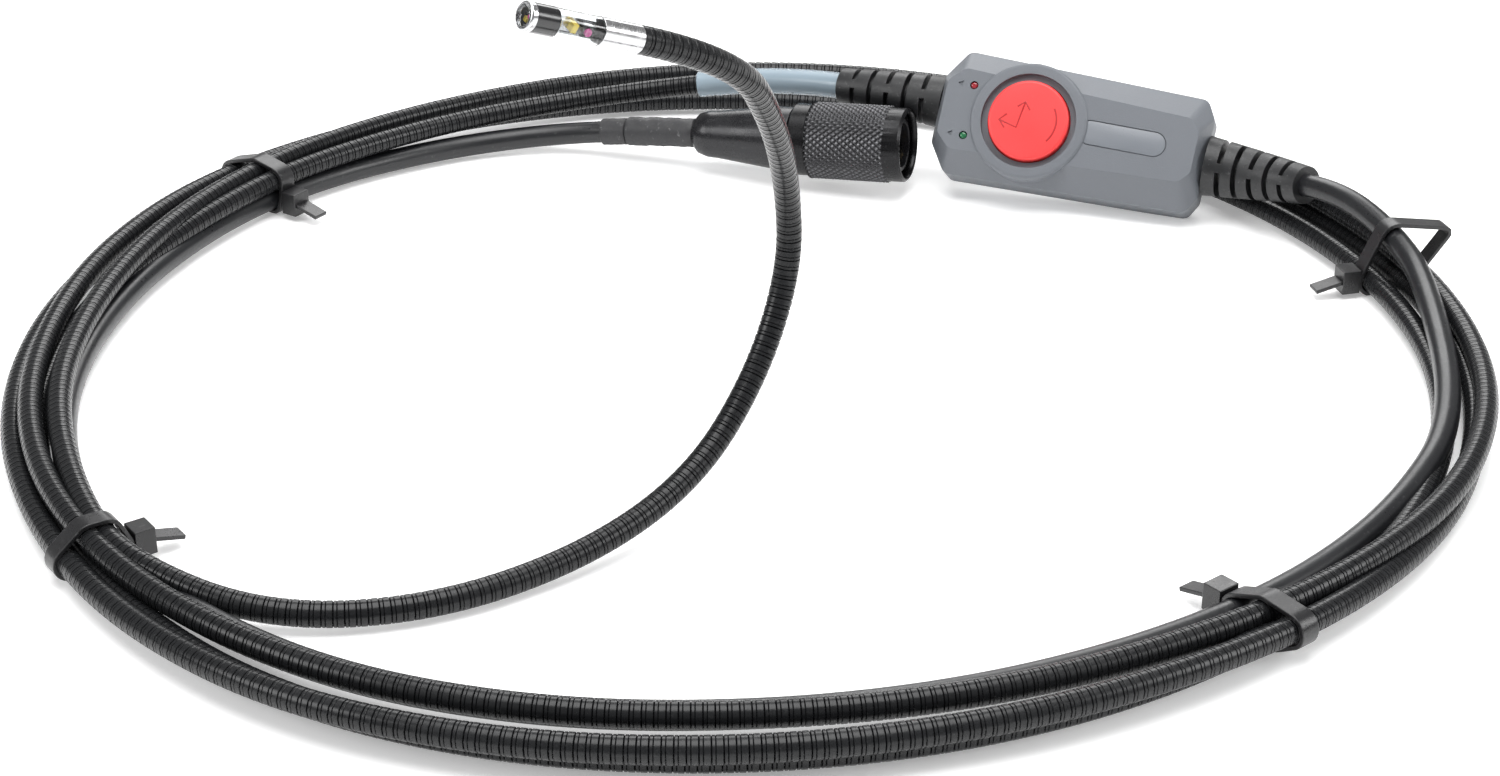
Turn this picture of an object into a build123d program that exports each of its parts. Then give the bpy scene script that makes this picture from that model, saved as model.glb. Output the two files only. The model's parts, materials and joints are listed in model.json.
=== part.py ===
from build123d import *
import os
from math import cos, pi, radians, sin, tan

# Video inspection probe, coiled and tied: millimetres, +Z up, floor at z = 0,
# origin on the floor at the centre of the coil, the head end towards -Y.

os.makedirs("parts", exist_ok=True)

# ---- driving dimensions -------------------------------------------------------------
HOSE_D = 5.5            # armoured insertion hose
CABLE_D = 5.8           # smooth connector cable
STRAP_T = 1.0           # cable tie strap thickness; the coil lies on the straps
STRAP_W = 4.6
COIL_TOP = 12.2         # two layers of hose above the straps
COIL_EDGE = 3.5         # rounding of the coil's outer shape

# inner and outer radius of the tied coil, every 30 degrees from +X
COIL_INNER = (152, 150.5, 151, 154.5, 149.5, 149, 151.5, 156, 157, 150, 146.5, 150.5)
COIL_OUTER = (169, 168, 168.5, 171, 171.5, 171.5, 171, 172.5, 178.5, 174.5, 169, 167.5)

# control box: pose, then sizes in its own axes (x along, y across, z out of the face)
BOX_AT = (83, 95.4, 17.5)
BOX_YAW, BOX_PITCH, BOX_LEAN = -18.2, -4.0, 33.1
BOX_LEFT, BOX_RIGHT = -36.0, 35.0
BOX_HALF_LEFT, BOX_HALF_RIGHT = 16.5, 15.0
SHELL_FRONT, SHELL_BACK, BACK_BEVEL = 9.5, 9.5, 3.2
WALL, CORNER_R, SIDE_TOP = 2.0, 2.6, 3.5
COLLAR_R, COLLAR_UP, RECESS_R = 15.3, 0.6, 12.4
BUTTON_X, BUTTON_R, BUTTON_TOP = -11.0, 10.5, 10.9
BUTTON_FLANGE_R = 12.0
LAMP_X, LAMP_Y, LAMP_R = -27.0, 6.7, 1.1
BADGE_X, BADGE_L, BADGE_W = 13.6, 23.0, 6.6
BOARD_X, BOARD_L, BOARD_HALF, BOARD_T = -3.3, 50.0, 8.0, 1.6
BOARD_TOP = 0.6
SCREW_AT = ((26, 9), (26, -9), (-29, 10.4), (-29, -10.4))
BOSS_R, SCREW_HEAD_R = 2.4, 1.8

# strain reliefs
RELIEF_L, RELIEF_TIP_R = 29.0, 4.8
LEFT_RELIEF_R, RIGHT_RELIEF_R = 7.0, 7.8
RELIEF_NECK_R, RELIEF_FLANGE_R = 3.95, 4.9
RELIEF_HOLE_R = 4.0
LEFT_RELIEF_AT, RIGHT_RELIEF_AT = (3.0, -2.4), (-1.2, 0.0)
LEFT_RELIEF_BEND, RIGHT_RELIEF_BEND = 13.0, 40.0

# multi-pin connector: mouth centre, axis, then stations back from the mouth
MOUTH_AT = (40.05, 98.4, 13.75)
CONNECTOR_YAW, CONNECTOR_PITCH = -18.5, 3.9
RING_R, RING_NOSE_R, RING_TAIL_R = 10.2, 9.7, 9.5
RING_NOSE, RING_KNURL, RING_L = 4.7, 26.1, 30.8
RING_BORE, THREAD_R, THREAD_PITCH = 8.4, 8.9, 1.2
BARREL_R, BARREL_BORE, BARREL_BACK = 6.8, 5.8, 35.4
LIP_R, LIP_FRONT, LIP_BACK = 6.88, 22.0, 26.0
BACKSHELL_BACK = 59.1
CABLE_HOLE_R = 3.0

# probe head
HEAD_AT = (-21.8, -107.1, 117.8)
HEAD_AXIS = (-0.746, -0.553, 0.369)
SIDE_VIEW = (0.474, -0.832, -0.287)
HEAD_R, HEAD_BORE = 2.75, 2.3
TUBE_L, WINDOW_L, CAP_L, HEAD_L = 9.2, 19.2, 24.2, 25.5


# ---- helpers --------------------------------------------------------------------------
def along(yaw, pitch=0.0):
    """Unit vector with this heading and climb."""
    return Vector(cos(radians(pitch)) * cos(radians(yaw)),
                  cos(radians(pitch)) * sin(radians(yaw)), sin(radians(pitch)))


def plane_at(frame, x=0.0, y=0.0, z=0.0):
    """A copy of a plane moved in its own axes."""
    origin = frame.origin + frame.x_dir * x + frame.y_dir * y + frame.z_dir * z
    return Plane(origin=origin, x_dir=frame.x_dir, z_dir=frame.z_dir)


def write(piece, name):
    piece.part.label = name
    export_step(piece.part, f"parts/{name}.step")


def arc_planes(base, length, bend, count):
    """Planes along an arc that starts square to base and bends towards its x axis."""
    radius = length / radians(bend)
    planes = []
    for i in range(count):
        turn = radians(bend) * i / (count - 1)
        origin = (base.origin + base.x_dir * radius * (1 - cos(turn))
                  + base.z_dir * radius * sin(turn))
        z_dir = base.z_dir * cos(turn) + base.x_dir * sin(turn)
        x_dir = base.x_dir * cos(turn) - base.z_dir * sin(turn)
        planes.append(Plane(origin=origin, x_dir=x_dir, z_dir=z_dir))
    return planes


def corner_radii(points):
    """Arc radius for each inner point: 0.45 of the shorter run over tan(turn / 2)."""
    radii = []
    for before, here, after in zip(points, points[1:], points[2:]):
        run_in = Vector(*here) - Vector(*before)
        run_out = Vector(*after) - Vector(*here)
        turn = radians(run_in.get_angle(run_out))
        radii.append(0.45 * min(run_in.length, run_out.length) / tan(turn / 2))
    return radii


def tube_along(name, points, outer):
    """A plain solid cord along straight runs joined by tangent arcs."""
    radii = corner_radii(points)
    with BuildPart() as tube:
        with BuildLine() as path:
            FilletPolyline(*points, radius=radii)
        start = path.line @ 0
        with BuildSketch(Plane(origin=start, z_dir=path.line % 0)):
            Circle(outer / 2)
        sweep()
    length = sum(edge.length for edge in path.edges())
    section = pi * outer ** 2 / 4
    print(name, "radii", [round(r, 1) for r in radii], "length", round(length, 1),
          "volume over section x length", round(tube.part.volume / (section * length), 4))
    write(tube, name)


# ---- control box frame and outline ------------------------------------------------------
box_x = along(BOX_YAW, BOX_PITCH)
level = box_x.cross(Vector(0, 0, 1)).normalized()
face = level * cos(radians(BOX_LEAN)) + level.cross(box_x) * sin(radians(BOX_LEAN))
BOX = Plane(origin=BOX_AT, x_dir=box_x, z_dir=face)
BOX_ENDS = [Plane(origin=plane_at(BOX, x, *at).origin, x_dir=BOX.y_dir, z_dir=BOX.x_dir * inward)
            for x, at, inward in ((BOX_LEFT, LEFT_RELIEF_AT, 1), (BOX_RIGHT, RIGHT_RELIEF_AT, -1))]


def outline(inset=0.0):
    """Corners of the box seen square to its face, the left end wider than the right."""
    left, right = BOX_LEFT + inset, BOX_RIGHT - inset
    half_left, half_right = BOX_HALF_LEFT - inset, BOX_HALF_RIGHT - inset
    return ((left, 9), (left + 5, half_left), (right - 2.5, half_right), (right, 10.5),
            (right, -10.5), (right - 2.5, -half_right), (left + 5, -half_left), (left, -9))


def plateau(inset=0.0):
    """Corners of the flat top of the face, which the long sides slope up to."""
    left, right = BOX_LEFT + 2.0 + inset, BOX_RIGHT - 2.5 - inset
    half_left, half_right = 10.8 - inset, 8.4 - inset
    return ((left, 7), (left + 4, half_left), (right - 2.5, half_right), (right, 5.5),
            (right, -5.5), (right - 2.5, -half_right), (left + 4, -half_left), (left, -7))


with BuildPart() as upper_shell:
    with BuildSketch(BOX):
        Polygon(*outline(), align=None)
        fillet(vertices(), radius=CORNER_R)
    extrude(amount=SIDE_TOP)
    with BuildSketch(plane_at(BOX, z=SIDE_TOP)):
        Polygon(*outline(), align=None)
        fillet(vertices(), radius=CORNER_R)
    with BuildSketch(plane_at(BOX, z=SHELL_FRONT)):
        Polygon(*plateau(), align=None)
        fillet(vertices(), radius=CORNER_R)
    loft(ruled=True)
    with BuildSketch(plane_at(BOX, x=BUTTON_X, z=SIDE_TOP)):
        Circle(COLLAR_R)
    extrude(amount=SHELL_FRONT + COLLAR_UP - SIDE_TOP)
    collar_rim = faces().sort_by(Axis((0, 0, 0), face)).last
    fillet(collar_rim.edges(), radius=0.9)
    with BuildSketch(BOX):
        Polygon(*outline(WALL), align=None)
    extrude(amount=SIDE_TOP - 0.5, mode=Mode.SUBTRACT)
    with BuildSketch(plane_at(BOX, z=SIDE_TOP - 0.5)):
        Polygon(*outline(WALL), align=None)
    with BuildSketch(plane_at(BOX, z=SHELL_FRONT - WALL)):
        Polygon(*plateau(WALL), align=None)
    loft(ruled=True, mode=Mode.SUBTRACT)
    with BuildSketch(plane_at(BOX, x=BUTTON_X)):
        Circle(COLLAR_R - WALL)
    extrude(amount=SHELL_FRONT - WALL, mode=Mode.SUBTRACT)
    with BuildSketch(plane_at(BOX, x=BUTTON_X, z=SHELL_FRONT - WALL - 1)):
        Circle(BUTTON_R + 0.3)
    extrude(amount=WALL + 3, mode=Mode.SUBTRACT)
    with BuildSketch(plane_at(BOX, x=BUTTON_X, z=SHELL_FRONT + COLLAR_UP)):
        Circle(RECESS_R)
    extrude(amount=-1.6, mode=Mode.SUBTRACT)
    with BuildSketch(plane_at(BOX, x=LAMP_X, z=SHELL_FRONT - WALL - 1)):
        with Locations((0, LAMP_Y), (0, -LAMP_Y)):
            Circle(LAMP_R)
    extrude(amount=WALL + 3, mode=Mode.SUBTRACT)
    with BuildSketch(plane_at(BOX, x=LAMP_X - 3.4, z=SHELL_FRONT)):
        with Locations((0, LAMP_Y), (0, -LAMP_Y)):
            RegularPolygon(0.9, 3, rotation=60)
    extrude(amount=-0.4, mode=Mode.SUBTRACT)
    with BuildSketch(plane_at(BOX, x=BADGE_X, z=SHELL_FRONT)):
        SlotOverall(BADGE_L, BADGE_W)
    extrude(amount=-0.5, mode=Mode.SUBTRACT)
    with BuildSketch(BOX):
        with Locations(*SCREW_AT):
            Circle(BOSS_R)
    extrude(amount=SIDE_TOP + 1.5)
    with BuildSketch(BOX):
        with Locations(*SCREW_AT):
            Circle(0.95)
    extrude(amount=4.5, mode=Mode.SUBTRACT)
    for end in BOX_ENDS:
        with BuildSketch(plane_at(end, z=-1)):
            Circle(RELIEF_HOLE_R)
        extrude(amount=WALL + 2, mode=Mode.SUBTRACT)
        with BuildSketch(plane_at(end, z=WALL)):
            Circle(RELIEF_FLANGE_R + 0.1)
        extrude(amount=2.2, mode=Mode.SUBTRACT)
write(upper_shell, "upper_shell")

with BuildPart() as lower_shell:
    with BuildSketch(BOX):
        Polygon(*outline(), align=None)
        fillet(vertices(), radius=CORNER_R)
    extrude(amount=BACK_BEVEL - SHELL_BACK)
    with BuildSketch(plane_at(BOX, z=BACK_BEVEL - SHELL_BACK)):
        Polygon(*outline(), align=None)
        fillet(vertices(), radius=CORNER_R)
    with BuildSketch(plane_at(BOX, z=-SHELL_BACK)):
        Polygon(*outline(BACK_BEVEL), align=None)
        fillet(vertices(), radius=CORNER_R)
    loft(ruled=True)
    with BuildSketch(BOX):
        Polygon(*outline(WALL), align=None)
    extrude(amount=-(SHELL_BACK - WALL), mode=Mode.SUBTRACT)
    with BuildSketch(BOX):
        with Locations(*SCREW_AT):
            Circle(BOSS_R)
    extrude(amount=-(SHELL_BACK - WALL))
    with BuildSketch(plane_at(BOX, z=-SHELL_BACK + WALL)):
        with Locations((-18, 0), (14, 0)):
            Rectangle(2, 14)
    extrude(amount=SHELL_BACK - WALL + BOARD_TOP - BOARD_T)
    with BuildSketch(BOX):
        with Locations(*SCREW_AT):
            Circle(1.1)
    extrude(amount=-SHELL_BACK - 1, mode=Mode.SUBTRACT)
    with BuildSketch(plane_at(BOX, z=-SHELL_BACK - 1)):
        with Locations(*SCREW_AT):
            Circle(SCREW_HEAD_R + 0.1)
    extrude(amount=3.2, mode=Mode.SUBTRACT)
    for end in BOX_ENDS:
        with BuildSketch(plane_at(end, z=-1)):
            Circle(RELIEF_HOLE_R)
        extrude(amount=WALL + 2, mode=Mode.SUBTRACT)
        with BuildSketch(plane_at(end, z=WALL)):
            Circle(RELIEF_FLANGE_R + 0.1)
        extrude(amount=2.2, mode=Mode.SUBTRACT)
write(lower_shell, "lower_shell")

with BuildPart() as shell_screws:
    with BuildSketch(plane_at(BOX, z=-SHELL_BACK + 2.2)):
        with Locations(*SCREW_AT):
            Circle(SCREW_HEAD_R)
    extrude(amount=-1.6)
    with BuildSketch(plane_at(BOX, z=-SHELL_BACK + 2.2)):
        with Locations(*SCREW_AT):
            Circle(0.95)
    extrude(amount=10.5)
    with BuildSketch(plane_at(BOX, z=-SHELL_BACK + 0.6)):
        with Locations(*SCREW_AT):
            Rectangle(2.4, 0.5)
            Rectangle(0.5, 2.4)
    extrude(amount=0.8, mode=Mode.SUBTRACT)
write(shell_screws, "shell_screws")

# ---- button and what it presses ------------------------------------------------------------
with BuildPart() as button_cap:
    with BuildSketch(plane_at(BOX, x=BUTTON_X, z=6.2)):
        Circle(BUTTON_FLANGE_R)
    extrude(amount=1.2)
    with BuildSketch(plane_at(BOX, x=BUTTON_X, z=6.2)):
        Circle(BUTTON_R)
    extrude(amount=BUTTON_TOP - 6.2)
    crown = faces().sort_by(Axis((0, 0, 0), face)).last
    fillet(crown.edges(), radius=0.8)
    with BuildSketch(plane_at(BOX, x=BUTTON_X, z=6.2)):
        Circle(9.0)
        Circle(2.0, mode=Mode.SUBTRACT)
    extrude(amount=3.0, mode=Mode.SUBTRACT)
    with BuildSketch(plane_at(BOX, x=BUTTON_X, z=5.0)):
        Circle(2.0)
    extrude(amount=1.2)
write(button_cap, "button_cap")

with BuildPart() as switch_body:
    with BuildSketch(plane_at(BOX, x=BUTTON_X, z=BOARD_TOP)):
        RectangleRounded(6.2, 6.2, 0.5)
    extrude(amount=3.0)
    with BuildSketch(plane_at(BOX, x=BUTTON_X, z=1.5)):
        Circle(1.75)
    extrude(amount=3, mode=Mode.SUBTRACT)
write(switch_body, "switch_body")

with BuildPart() as switch_plunger:
    with BuildSketch(plane_at(BOX, x=BUTTON_X, z=2.8)):
        Circle(1.7)
    extrude(amount=2.2)
write(switch_plunger, "switch_plunger")

# ---- electronics ------------------------------------------------------------------------------
with BuildPart() as circuit_board:
    with BuildSketch(plane_at(BOX, x=BOARD_X, z=BOARD_TOP)):
        RectangleRounded(BOARD_L, 2 * BOARD_HALF, 1.0)
    extrude(amount=-BOARD_T)
write(circuit_board, "circuit_board")

with BuildPart() as board_chips:
    with BuildSketch(plane_at(BOX, z=BOARD_TOP)):
        with Locations((10, 2)):
            Rectangle(7, 7)
        with Locations((2.5, -4.5)):
            Rectangle(4, 3)
        with Locations((18, -4), (18, -1.5), (3, 4.5)):
            Rectangle(2, 1.2)
    extrude(amount=1.2)
write(board_chips, "board_chips")


def lamp(name, y):
    """A board lamp with its clear pipe up to the face."""
    with BuildPart() as piece:
        with BuildSketch(plane_at(BOX, x=LAMP_X, y=y, z=BOARD_TOP)):
            Circle(1.0)
        extrude(amount=SHELL_FRONT - 0.2 - BOARD_TOP)
        tip = faces().sort_by(Axis((0, 0, 0), face)).last
        fillet(tip.edges(), radius=0.6)
    write(piece, name)


lamp("red_lamp", LAMP_Y)
lamp("green_lamp", -LAMP_Y)

with BuildPart() as board_wires:
    for x, y, length in ((BOX_LEFT + WALL + 2.0, LEFT_RELIEF_AT[0], 4.6),
                         (BOX_RIGHT - WALL - 2.0, RIGHT_RELIEF_AT[0], -11.0)):
        end = plane_at(BOX, x=x, y=y, z=BOARD_TOP + 1.05)
        with BuildSketch(Plane(origin=end.origin, x_dir=BOX.y_dir, z_dir=BOX.x_dir)):
            with Locations((-1.2, 0), (1.2, 0)):
                Circle(1.0)
        extrude(amount=length)
write(board_wires, "board_wires")


# ---- strain reliefs --------------------------------------------------------------------
def relief_stations(x, at, outward, bend_to, bend, base_r):
    """Planes and radii along one boot, from the box end to its tip."""
    heading = BOX.x_dir * outward
    bend_to = Vector(*bend_to)
    bend_to = (bend_to - heading * bend_to.dot(heading)).normalized()
    base = Plane(origin=plane_at(BOX, x, *at).origin, x_dir=bend_to, z_dir=heading)
    planes = arc_planes(base, RELIEF_L, bend, 7)
    return [(plane, base_r + (RELIEF_TIP_R - base_r) * i / 6) for i, plane in enumerate(planes)]


def strain_relief(name, stations):
    """A tapered slotted boot with a neck through the box end and a flange inside."""
    base = stations[0][0]
    with BuildPart() as boot:
        for plane, radius in stations:
            with BuildSketch(plane):
                Circle(radius)
        loft()
        for i, (plane, radius) in enumerate(stations[1:6]):
            with BuildSketch(plane):
                Circle(radius + 1)
                Circle(RELIEF_TIP_R - 0.9, mode=Mode.SUBTRACT)
                Rectangle(2.4 if i % 2 else 20, 20 if i % 2 else 2.4, mode=Mode.SUBTRACT)
            extrude(amount=0.65, both=True, mode=Mode.SUBTRACT)
        with BuildSketch(base):
            Circle(RELIEF_NECK_R)
        extrude(amount=-WALL)
        with BuildSketch(plane_at(base, z=-WALL)):
            Circle(RELIEF_FLANGE_R)
        extrude(amount=-2.0)
    write(boot, name)


right_stations = relief_stations(BOX_RIGHT, RIGHT_RELIEF_AT, 1, (-0.289, -0.882, 0.37),
                                 RIGHT_RELIEF_BEND, RIGHT_RELIEF_R)
strain_relief("strain_relief_right", right_stations)
cable_exit = right_stations[-1][0]

left_stations = relief_stations(BOX_LEFT, LEFT_RELIEF_AT, -1, (0.24, 0.8, -0.55),
                                LEFT_RELIEF_BEND, LEFT_RELIEF_R)
strain_relief("strain_relief_left", left_stations)
hose_exit = left_stations[-1][0]

# ---- coil: the outer shape of the tied turns ----------------------------------------------------
def ring_points(radii):
    step = 360 / len(radii)
    return [(r * cos(radians(i * step)), r * sin(radians(i * step))) for i, r in enumerate(radii)]


with BuildPart() as tied_coil:
    with BuildSketch(Plane.XY.offset(STRAP_T)):
        with BuildLine():
            Spline(*ring_points(COIL_OUTER), periodic=True)
        make_face()
        with BuildLine(mode=Mode.PRIVATE) as inner_line:
            Spline(*ring_points(COIL_INNER), periodic=True)
        make_face(inner_line.line.edges(), mode=Mode.SUBTRACT)
    extrude(amount=COIL_TOP - STRAP_T)
    fillet(tied_coil.edges(), radius=COIL_EDGE)
    for plane, radius in right_stations:
        with BuildSketch(plane):
            Circle(radius + 0.4)
    loft(mode=Mode.SUBTRACT)
write(tied_coil, "tied_coil")

# ---- uncoiled stretches ----------------------------------------------------------------
LEAD_RUN = 22.0
hose_tip = hose_exit.origin
HOSE_LEAD = (tuple(hose_tip), tuple(hose_tip + hose_exit.z_dir * LEAD_RUN), (-40, 138.5, 12.6),
             (-80, 127.5, 9.6), (-113, 101, 9.4))
tube_along("hose_lead", HOSE_LEAD, HOSE_D)

head_axis = Vector(*HEAD_AXIS).normalized()
HOSE_FREE = ((-138, -86, 8.5), (-123, -107, 7.5), (-95, -120.5, 4.2), (-63, -115.5, 3.2),
             (-34, -95, 3.5), (-13, -74, 9.5), (0, -57, 25), (7, -46, 44.8), (6.3, -48.5, 64.8),
             (3, -71, 88), tuple(Vector(*HEAD_AT) - head_axis * 24), HEAD_AT)
tube_along("hose_free_end", HOSE_FREE, HOSE_D)

cable_tip = cable_exit.origin
CABLE_LEAD = (tuple(cable_tip), tuple(cable_tip + cable_exit.z_dir * 12), (154.5, 40.5, 14.8),
              (159.5, 21, 10.5))
tube_along("cable_lead", CABLE_LEAD, CABLE_D)

TAIL_START, TAIL_TURN = 54.6, 71.1
connector_axis = along(CONNECTOR_YAW, CONNECTOR_PITCH)
mouth = Vector(*MOUTH_AT)
tail_turn = mouth - connector_axis * TAIL_TURN
TAIL_DROP = (-50, 128.5, 5.3)
CABLE_TAIL = (tuple(mouth - connector_axis * TAIL_START), tuple(tail_turn), TAIL_DROP,
              (-72, 126.5, 3.6), (-93, 116.5, 3.5), (-114, 101, 3.6))
tube_along("cable_tail", CABLE_TAIL, CABLE_D)


# ---- sleeves over the cords ----------------------------------------------------------------
def sleeve(name, points, radius, outer, inner):
    """A hollow tube over a cord: straight, or with the cord's own corner in it."""
    with BuildPart() as tube:
        with BuildLine() as path:
            if len(points) == 2:
                Line(*points)
            else:
                FilletPolyline(*points, radius=radius)
        with BuildSketch(Plane(origin=path.line @ 0, z_dir=path.line % 0)):
            Circle(outer / 2)
            Circle(inner / 2, mode=Mode.SUBTRACT)
        sweep()
    write(tube, name)


lead_turn = Vector(*HOSE_LEAD[1])
lead_on = (Vector(*HOSE_LEAD[2]) - lead_turn).normalized()
sleeve("clear_sleeve", (hose_tip + hose_exit.z_dir * 0.3, lead_turn, lead_turn + lead_on * 21),
       corner_radii(HOSE_LEAD)[0], 6.9, HOSE_D + 0.1)

tail_on = (Vector(*TAIL_DROP) - tail_turn).normalized()
sleeve("heat_shrink_connector",
       (mouth - connector_axis * (BACKSHELL_BACK + 0.1), tail_turn, tail_turn + tail_on * 7.9),
       corner_radii(CABLE_TAIL)[0], 8.0, CABLE_D + 0.1)
sleeve("heat_shrink_cable", (tail_turn + tail_on * 8.0, tail_turn + tail_on * 15.5),
       0, 7.3, CABLE_D + 0.1)

# ---- multi-pin connector ---------------------------------------------------------------------
connector_up = (Vector(0, 0, 1) - connector_axis * connector_axis.Z).normalized()
CON = Plane(origin=MOUTH_AT, x_dir=connector_up, z_dir=connector_axis)

with BuildPart() as coupling_ring:
    with BuildSketch(CON):
        Circle(RING_NOSE_R)
    extrude(amount=-RING_L)
    mouth_edge = faces().sort_by(Axis((0, 0, 0), connector_axis)).last.edges()
    chamfer(mouth_edge, length=0.6)
    with BuildSketch(plane_at(CON, z=-RING_NOSE)):
        Circle(RING_R)
        with PolarLocations(RING_R, 48):
            Rectangle(0.5, 0.5, mode=Mode.SUBTRACT)
    extrude(amount=RING_NOSE - RING_KNURL)
    with BuildSketch(plane_at(CON, z=-RING_KNURL)):
        Circle(RING_NOSE_R + 1)
        Circle(RING_TAIL_R, mode=Mode.SUBTRACT)
    extrude(amount=RING_KNURL - RING_L, mode=Mode.SUBTRACT)
    with BuildSketch(CON):
        Circle(RING_BORE)
    extrude(amount=-LIP_FRONT, mode=Mode.SUBTRACT)
    for i in range(7):
        with BuildSketch(plane_at(CON, z=-1.5 - i * THREAD_PITCH)):
            Circle(THREAD_R)
        extrude(amount=-THREAD_PITCH / 2, mode=Mode.SUBTRACT)
    with BuildSketch(plane_at(CON, z=-LIP_FRONT)):
        Circle(LIP_R)
    extrude(amount=LIP_FRONT - LIP_BACK, mode=Mode.SUBTRACT)
    with BuildSketch(plane_at(CON, z=-LIP_BACK)):
        Circle(RING_BORE)
    extrude(amount=LIP_BACK - RING_L, mode=Mode.SUBTRACT)
write(coupling_ring, "coupling_ring")

with BuildPart() as connector_barrel:
    with BuildSketch(plane_at(CON, z=-1.5)):
        Circle(BARREL_R)
    extrude(amount=1.5 - BARREL_BACK)
    with BuildSketch(plane_at(CON, z=-19)):
        Circle(8.0)
    extrude(amount=19 - LIP_FRONT + 0.2)
    for start, depth, radius in ((-11.0, 1.4, 6.2), (-LIP_BACK - 0.25, 0.9, 6.3)):
        with BuildSketch(plane_at(CON, z=start)):
            Circle(BARREL_R + 1)
            Circle(radius, mode=Mode.SUBTRACT)
        extrude(amount=-depth, mode=Mode.SUBTRACT)
    with BuildSketch(plane_at(CON, z=-1.5)):
        Circle(BARREL_BORE)
        with Locations((BARREL_BORE, 0)):
            Rectangle(1.2, 1.6, mode=Mode.SUBTRACT)
    extrude(amount=-7.4, mode=Mode.SUBTRACT)
    with BuildSketch(plane_at(CON, z=-8.9)):
        Circle(BARREL_BORE)
    extrude(amount=-6.2, mode=Mode.SUBTRACT)
    with BuildSketch(plane_at(CON, z=-15.1)):
        Circle(4.6)
    extrude(amount=15.1 - BARREL_BACK, mode=Mode.SUBTRACT)
write(connector_barrel, "connector_barrel")

PIN_RING, PIN_COUNT = 3.6, 6
with BuildPart() as pin_insert:
    with BuildSketch(plane_at(CON, z=-9.0)):
        Circle(BARREL_BORE - 0.02)
        Circle(0.55, mode=Mode.SUBTRACT)
        with PolarLocations(PIN_RING, PIN_COUNT):
            Circle(0.55, mode=Mode.SUBTRACT)
    extrude(amount=-6.0)
write(pin_insert, "pin_insert")

with BuildPart() as contact_pins:
    with BuildSketch(plane_at(CON, z=-4.0)):
        Circle(0.5)
        with PolarLocations(PIN_RING, PIN_COUNT):
            Circle(0.5)
    extrude(amount=-12.5)
write(contact_pins, "contact_pins")

with BuildPart() as connector_wires:
    with BuildSketch(plane_at(CON, z=-16.5)):
        Circle(4.3)
    with BuildSketch(plane_at(CON, z=-24)):
        Circle(2.2)
    loft()
    with BuildSketch(plane_at(CON, z=-24)):
        Circle(2.2)
    extrude(amount=24 - TAIL_START)
write(connector_wires, "connector_wires")

with BuildPart() as barrel_seal:
    seal_at = plane_at(CON, z=-11.7)
    with BuildSketch(Plane(origin=seal_at.origin, x_dir=CON.x_dir, z_dir=CON.y_dir)):
        with Locations((6.86, 0)):
            Circle(0.65)
    revolve(axis=Axis(MOUTH_AT, connector_axis))
write(barrel_seal, "barrel_seal")

with BuildPart() as retaining_clip:
    with BuildSketch(plane_at(CON, z=-LIP_BACK - 0.3)):
        Circle(7.9)
        Circle(6.35, mode=Mode.SUBTRACT)
        with Locations((7, 0)):
            Rectangle(4, 4, mode=Mode.SUBTRACT)
    extrude(amount=-0.8)
write(retaining_clip, "retaining_clip")

with BuildPart() as backshell:
    outer = ((8.2, -31.3), (8.4, -31.6), (8.4, -36.4), (6.4, -52.2), (6.2, -55.4), (5.4, -57.9),
             (4.1, -59.1), (CABLE_HOLE_R, -59.1), (CABLE_HOLE_R, -53.0), (5.0, -51.5),
             (5.0, -35.6), (6.85, -35.6), (6.85, -31.3))
    with BuildSketch(Plane(origin=MOUTH_AT, x_dir=CON.x_dir, z_dir=-CON.y_dir)):
        Polygon(*outer, align=None)
    revolve(axis=Axis(MOUTH_AT, connector_axis))
write(backshell, "backshell")

# ---- probe head -----------------------------------------------------------------------------------
side = Vector(*SIDE_VIEW)
side = (side - head_axis * side.dot(head_axis)).normalized()
HEAD = Plane(origin=HEAD_AT, x_dir=side, z_dir=head_axis)
SIDE_LENS_Z, SIDE_LED_Z = 12.1, 14.9


def across_head(x, z):
    """A plane looking out of the side of the head, its own x along the head."""
    return Plane(origin=plane_at(HEAD, x=x, z=z).origin, x_dir=HEAD.z_dir, z_dir=HEAD.x_dir)


with BuildPart() as head_tube:
    with BuildSketch(HEAD):
        Circle(HEAD_R)
        Circle(1.2, mode=Mode.SUBTRACT)
    extrude(amount=0.8)
    with BuildSketch(plane_at(HEAD, z=0.8)):
        Circle(HEAD_R)
        Circle(HEAD_BORE, mode=Mode.SUBTRACT)
    extrude(amount=TUBE_L - 0.8)
write(head_tube, "head_tube")

with BuildPart() as window_tube:
    with BuildSketch(plane_at(HEAD, z=TUBE_L)):
        Circle(HEAD_R - 0.03)
        Circle(HEAD_BORE, mode=Mode.SUBTRACT)
    extrude(amount=WINDOW_L - TUBE_L)
write(window_tube, "window_tube")

with BuildPart() as front_cap:
    with BuildSketch(plane_at(HEAD, z=WINDOW_L)):
        Circle(HEAD_R)
        Circle(HEAD_BORE, mode=Mode.SUBTRACT)
    extrude(amount=CAP_L - WINDOW_L)
write(front_cap, "front_cap")

with BuildPart() as front_rim:
    with BuildSketch(plane_at(HEAD, z=CAP_L)):
        Circle(HEAD_R)
    extrude(amount=HEAD_L - CAP_L)
    fillet(faces().sort_by(Axis((0, 0, 0), head_axis)).last.edges(), radius=0.45)
    with BuildSketch(plane_at(HEAD, z=CAP_L)):
        Circle(1.9)
    extrude(amount=HEAD_L - CAP_L, mode=Mode.SUBTRACT)
    with BuildSketch(plane_at(HEAD, z=CAP_L + 0.2)):
        Circle(2.2)
    extrude(amount=HEAD_L - CAP_L, mode=Mode.SUBTRACT)
write(front_rim, "front_rim")

with BuildPart() as front_window:
    with BuildSketch(plane_at(HEAD, z=CAP_L + 0.2)):
        Circle(2.17)
    extrude(amount=1.1)
    fillet(faces().sort_by(Axis((0, 0, 0), head_axis)).last.edges(), radius=0.5)
write(front_window, "front_window")

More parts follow.
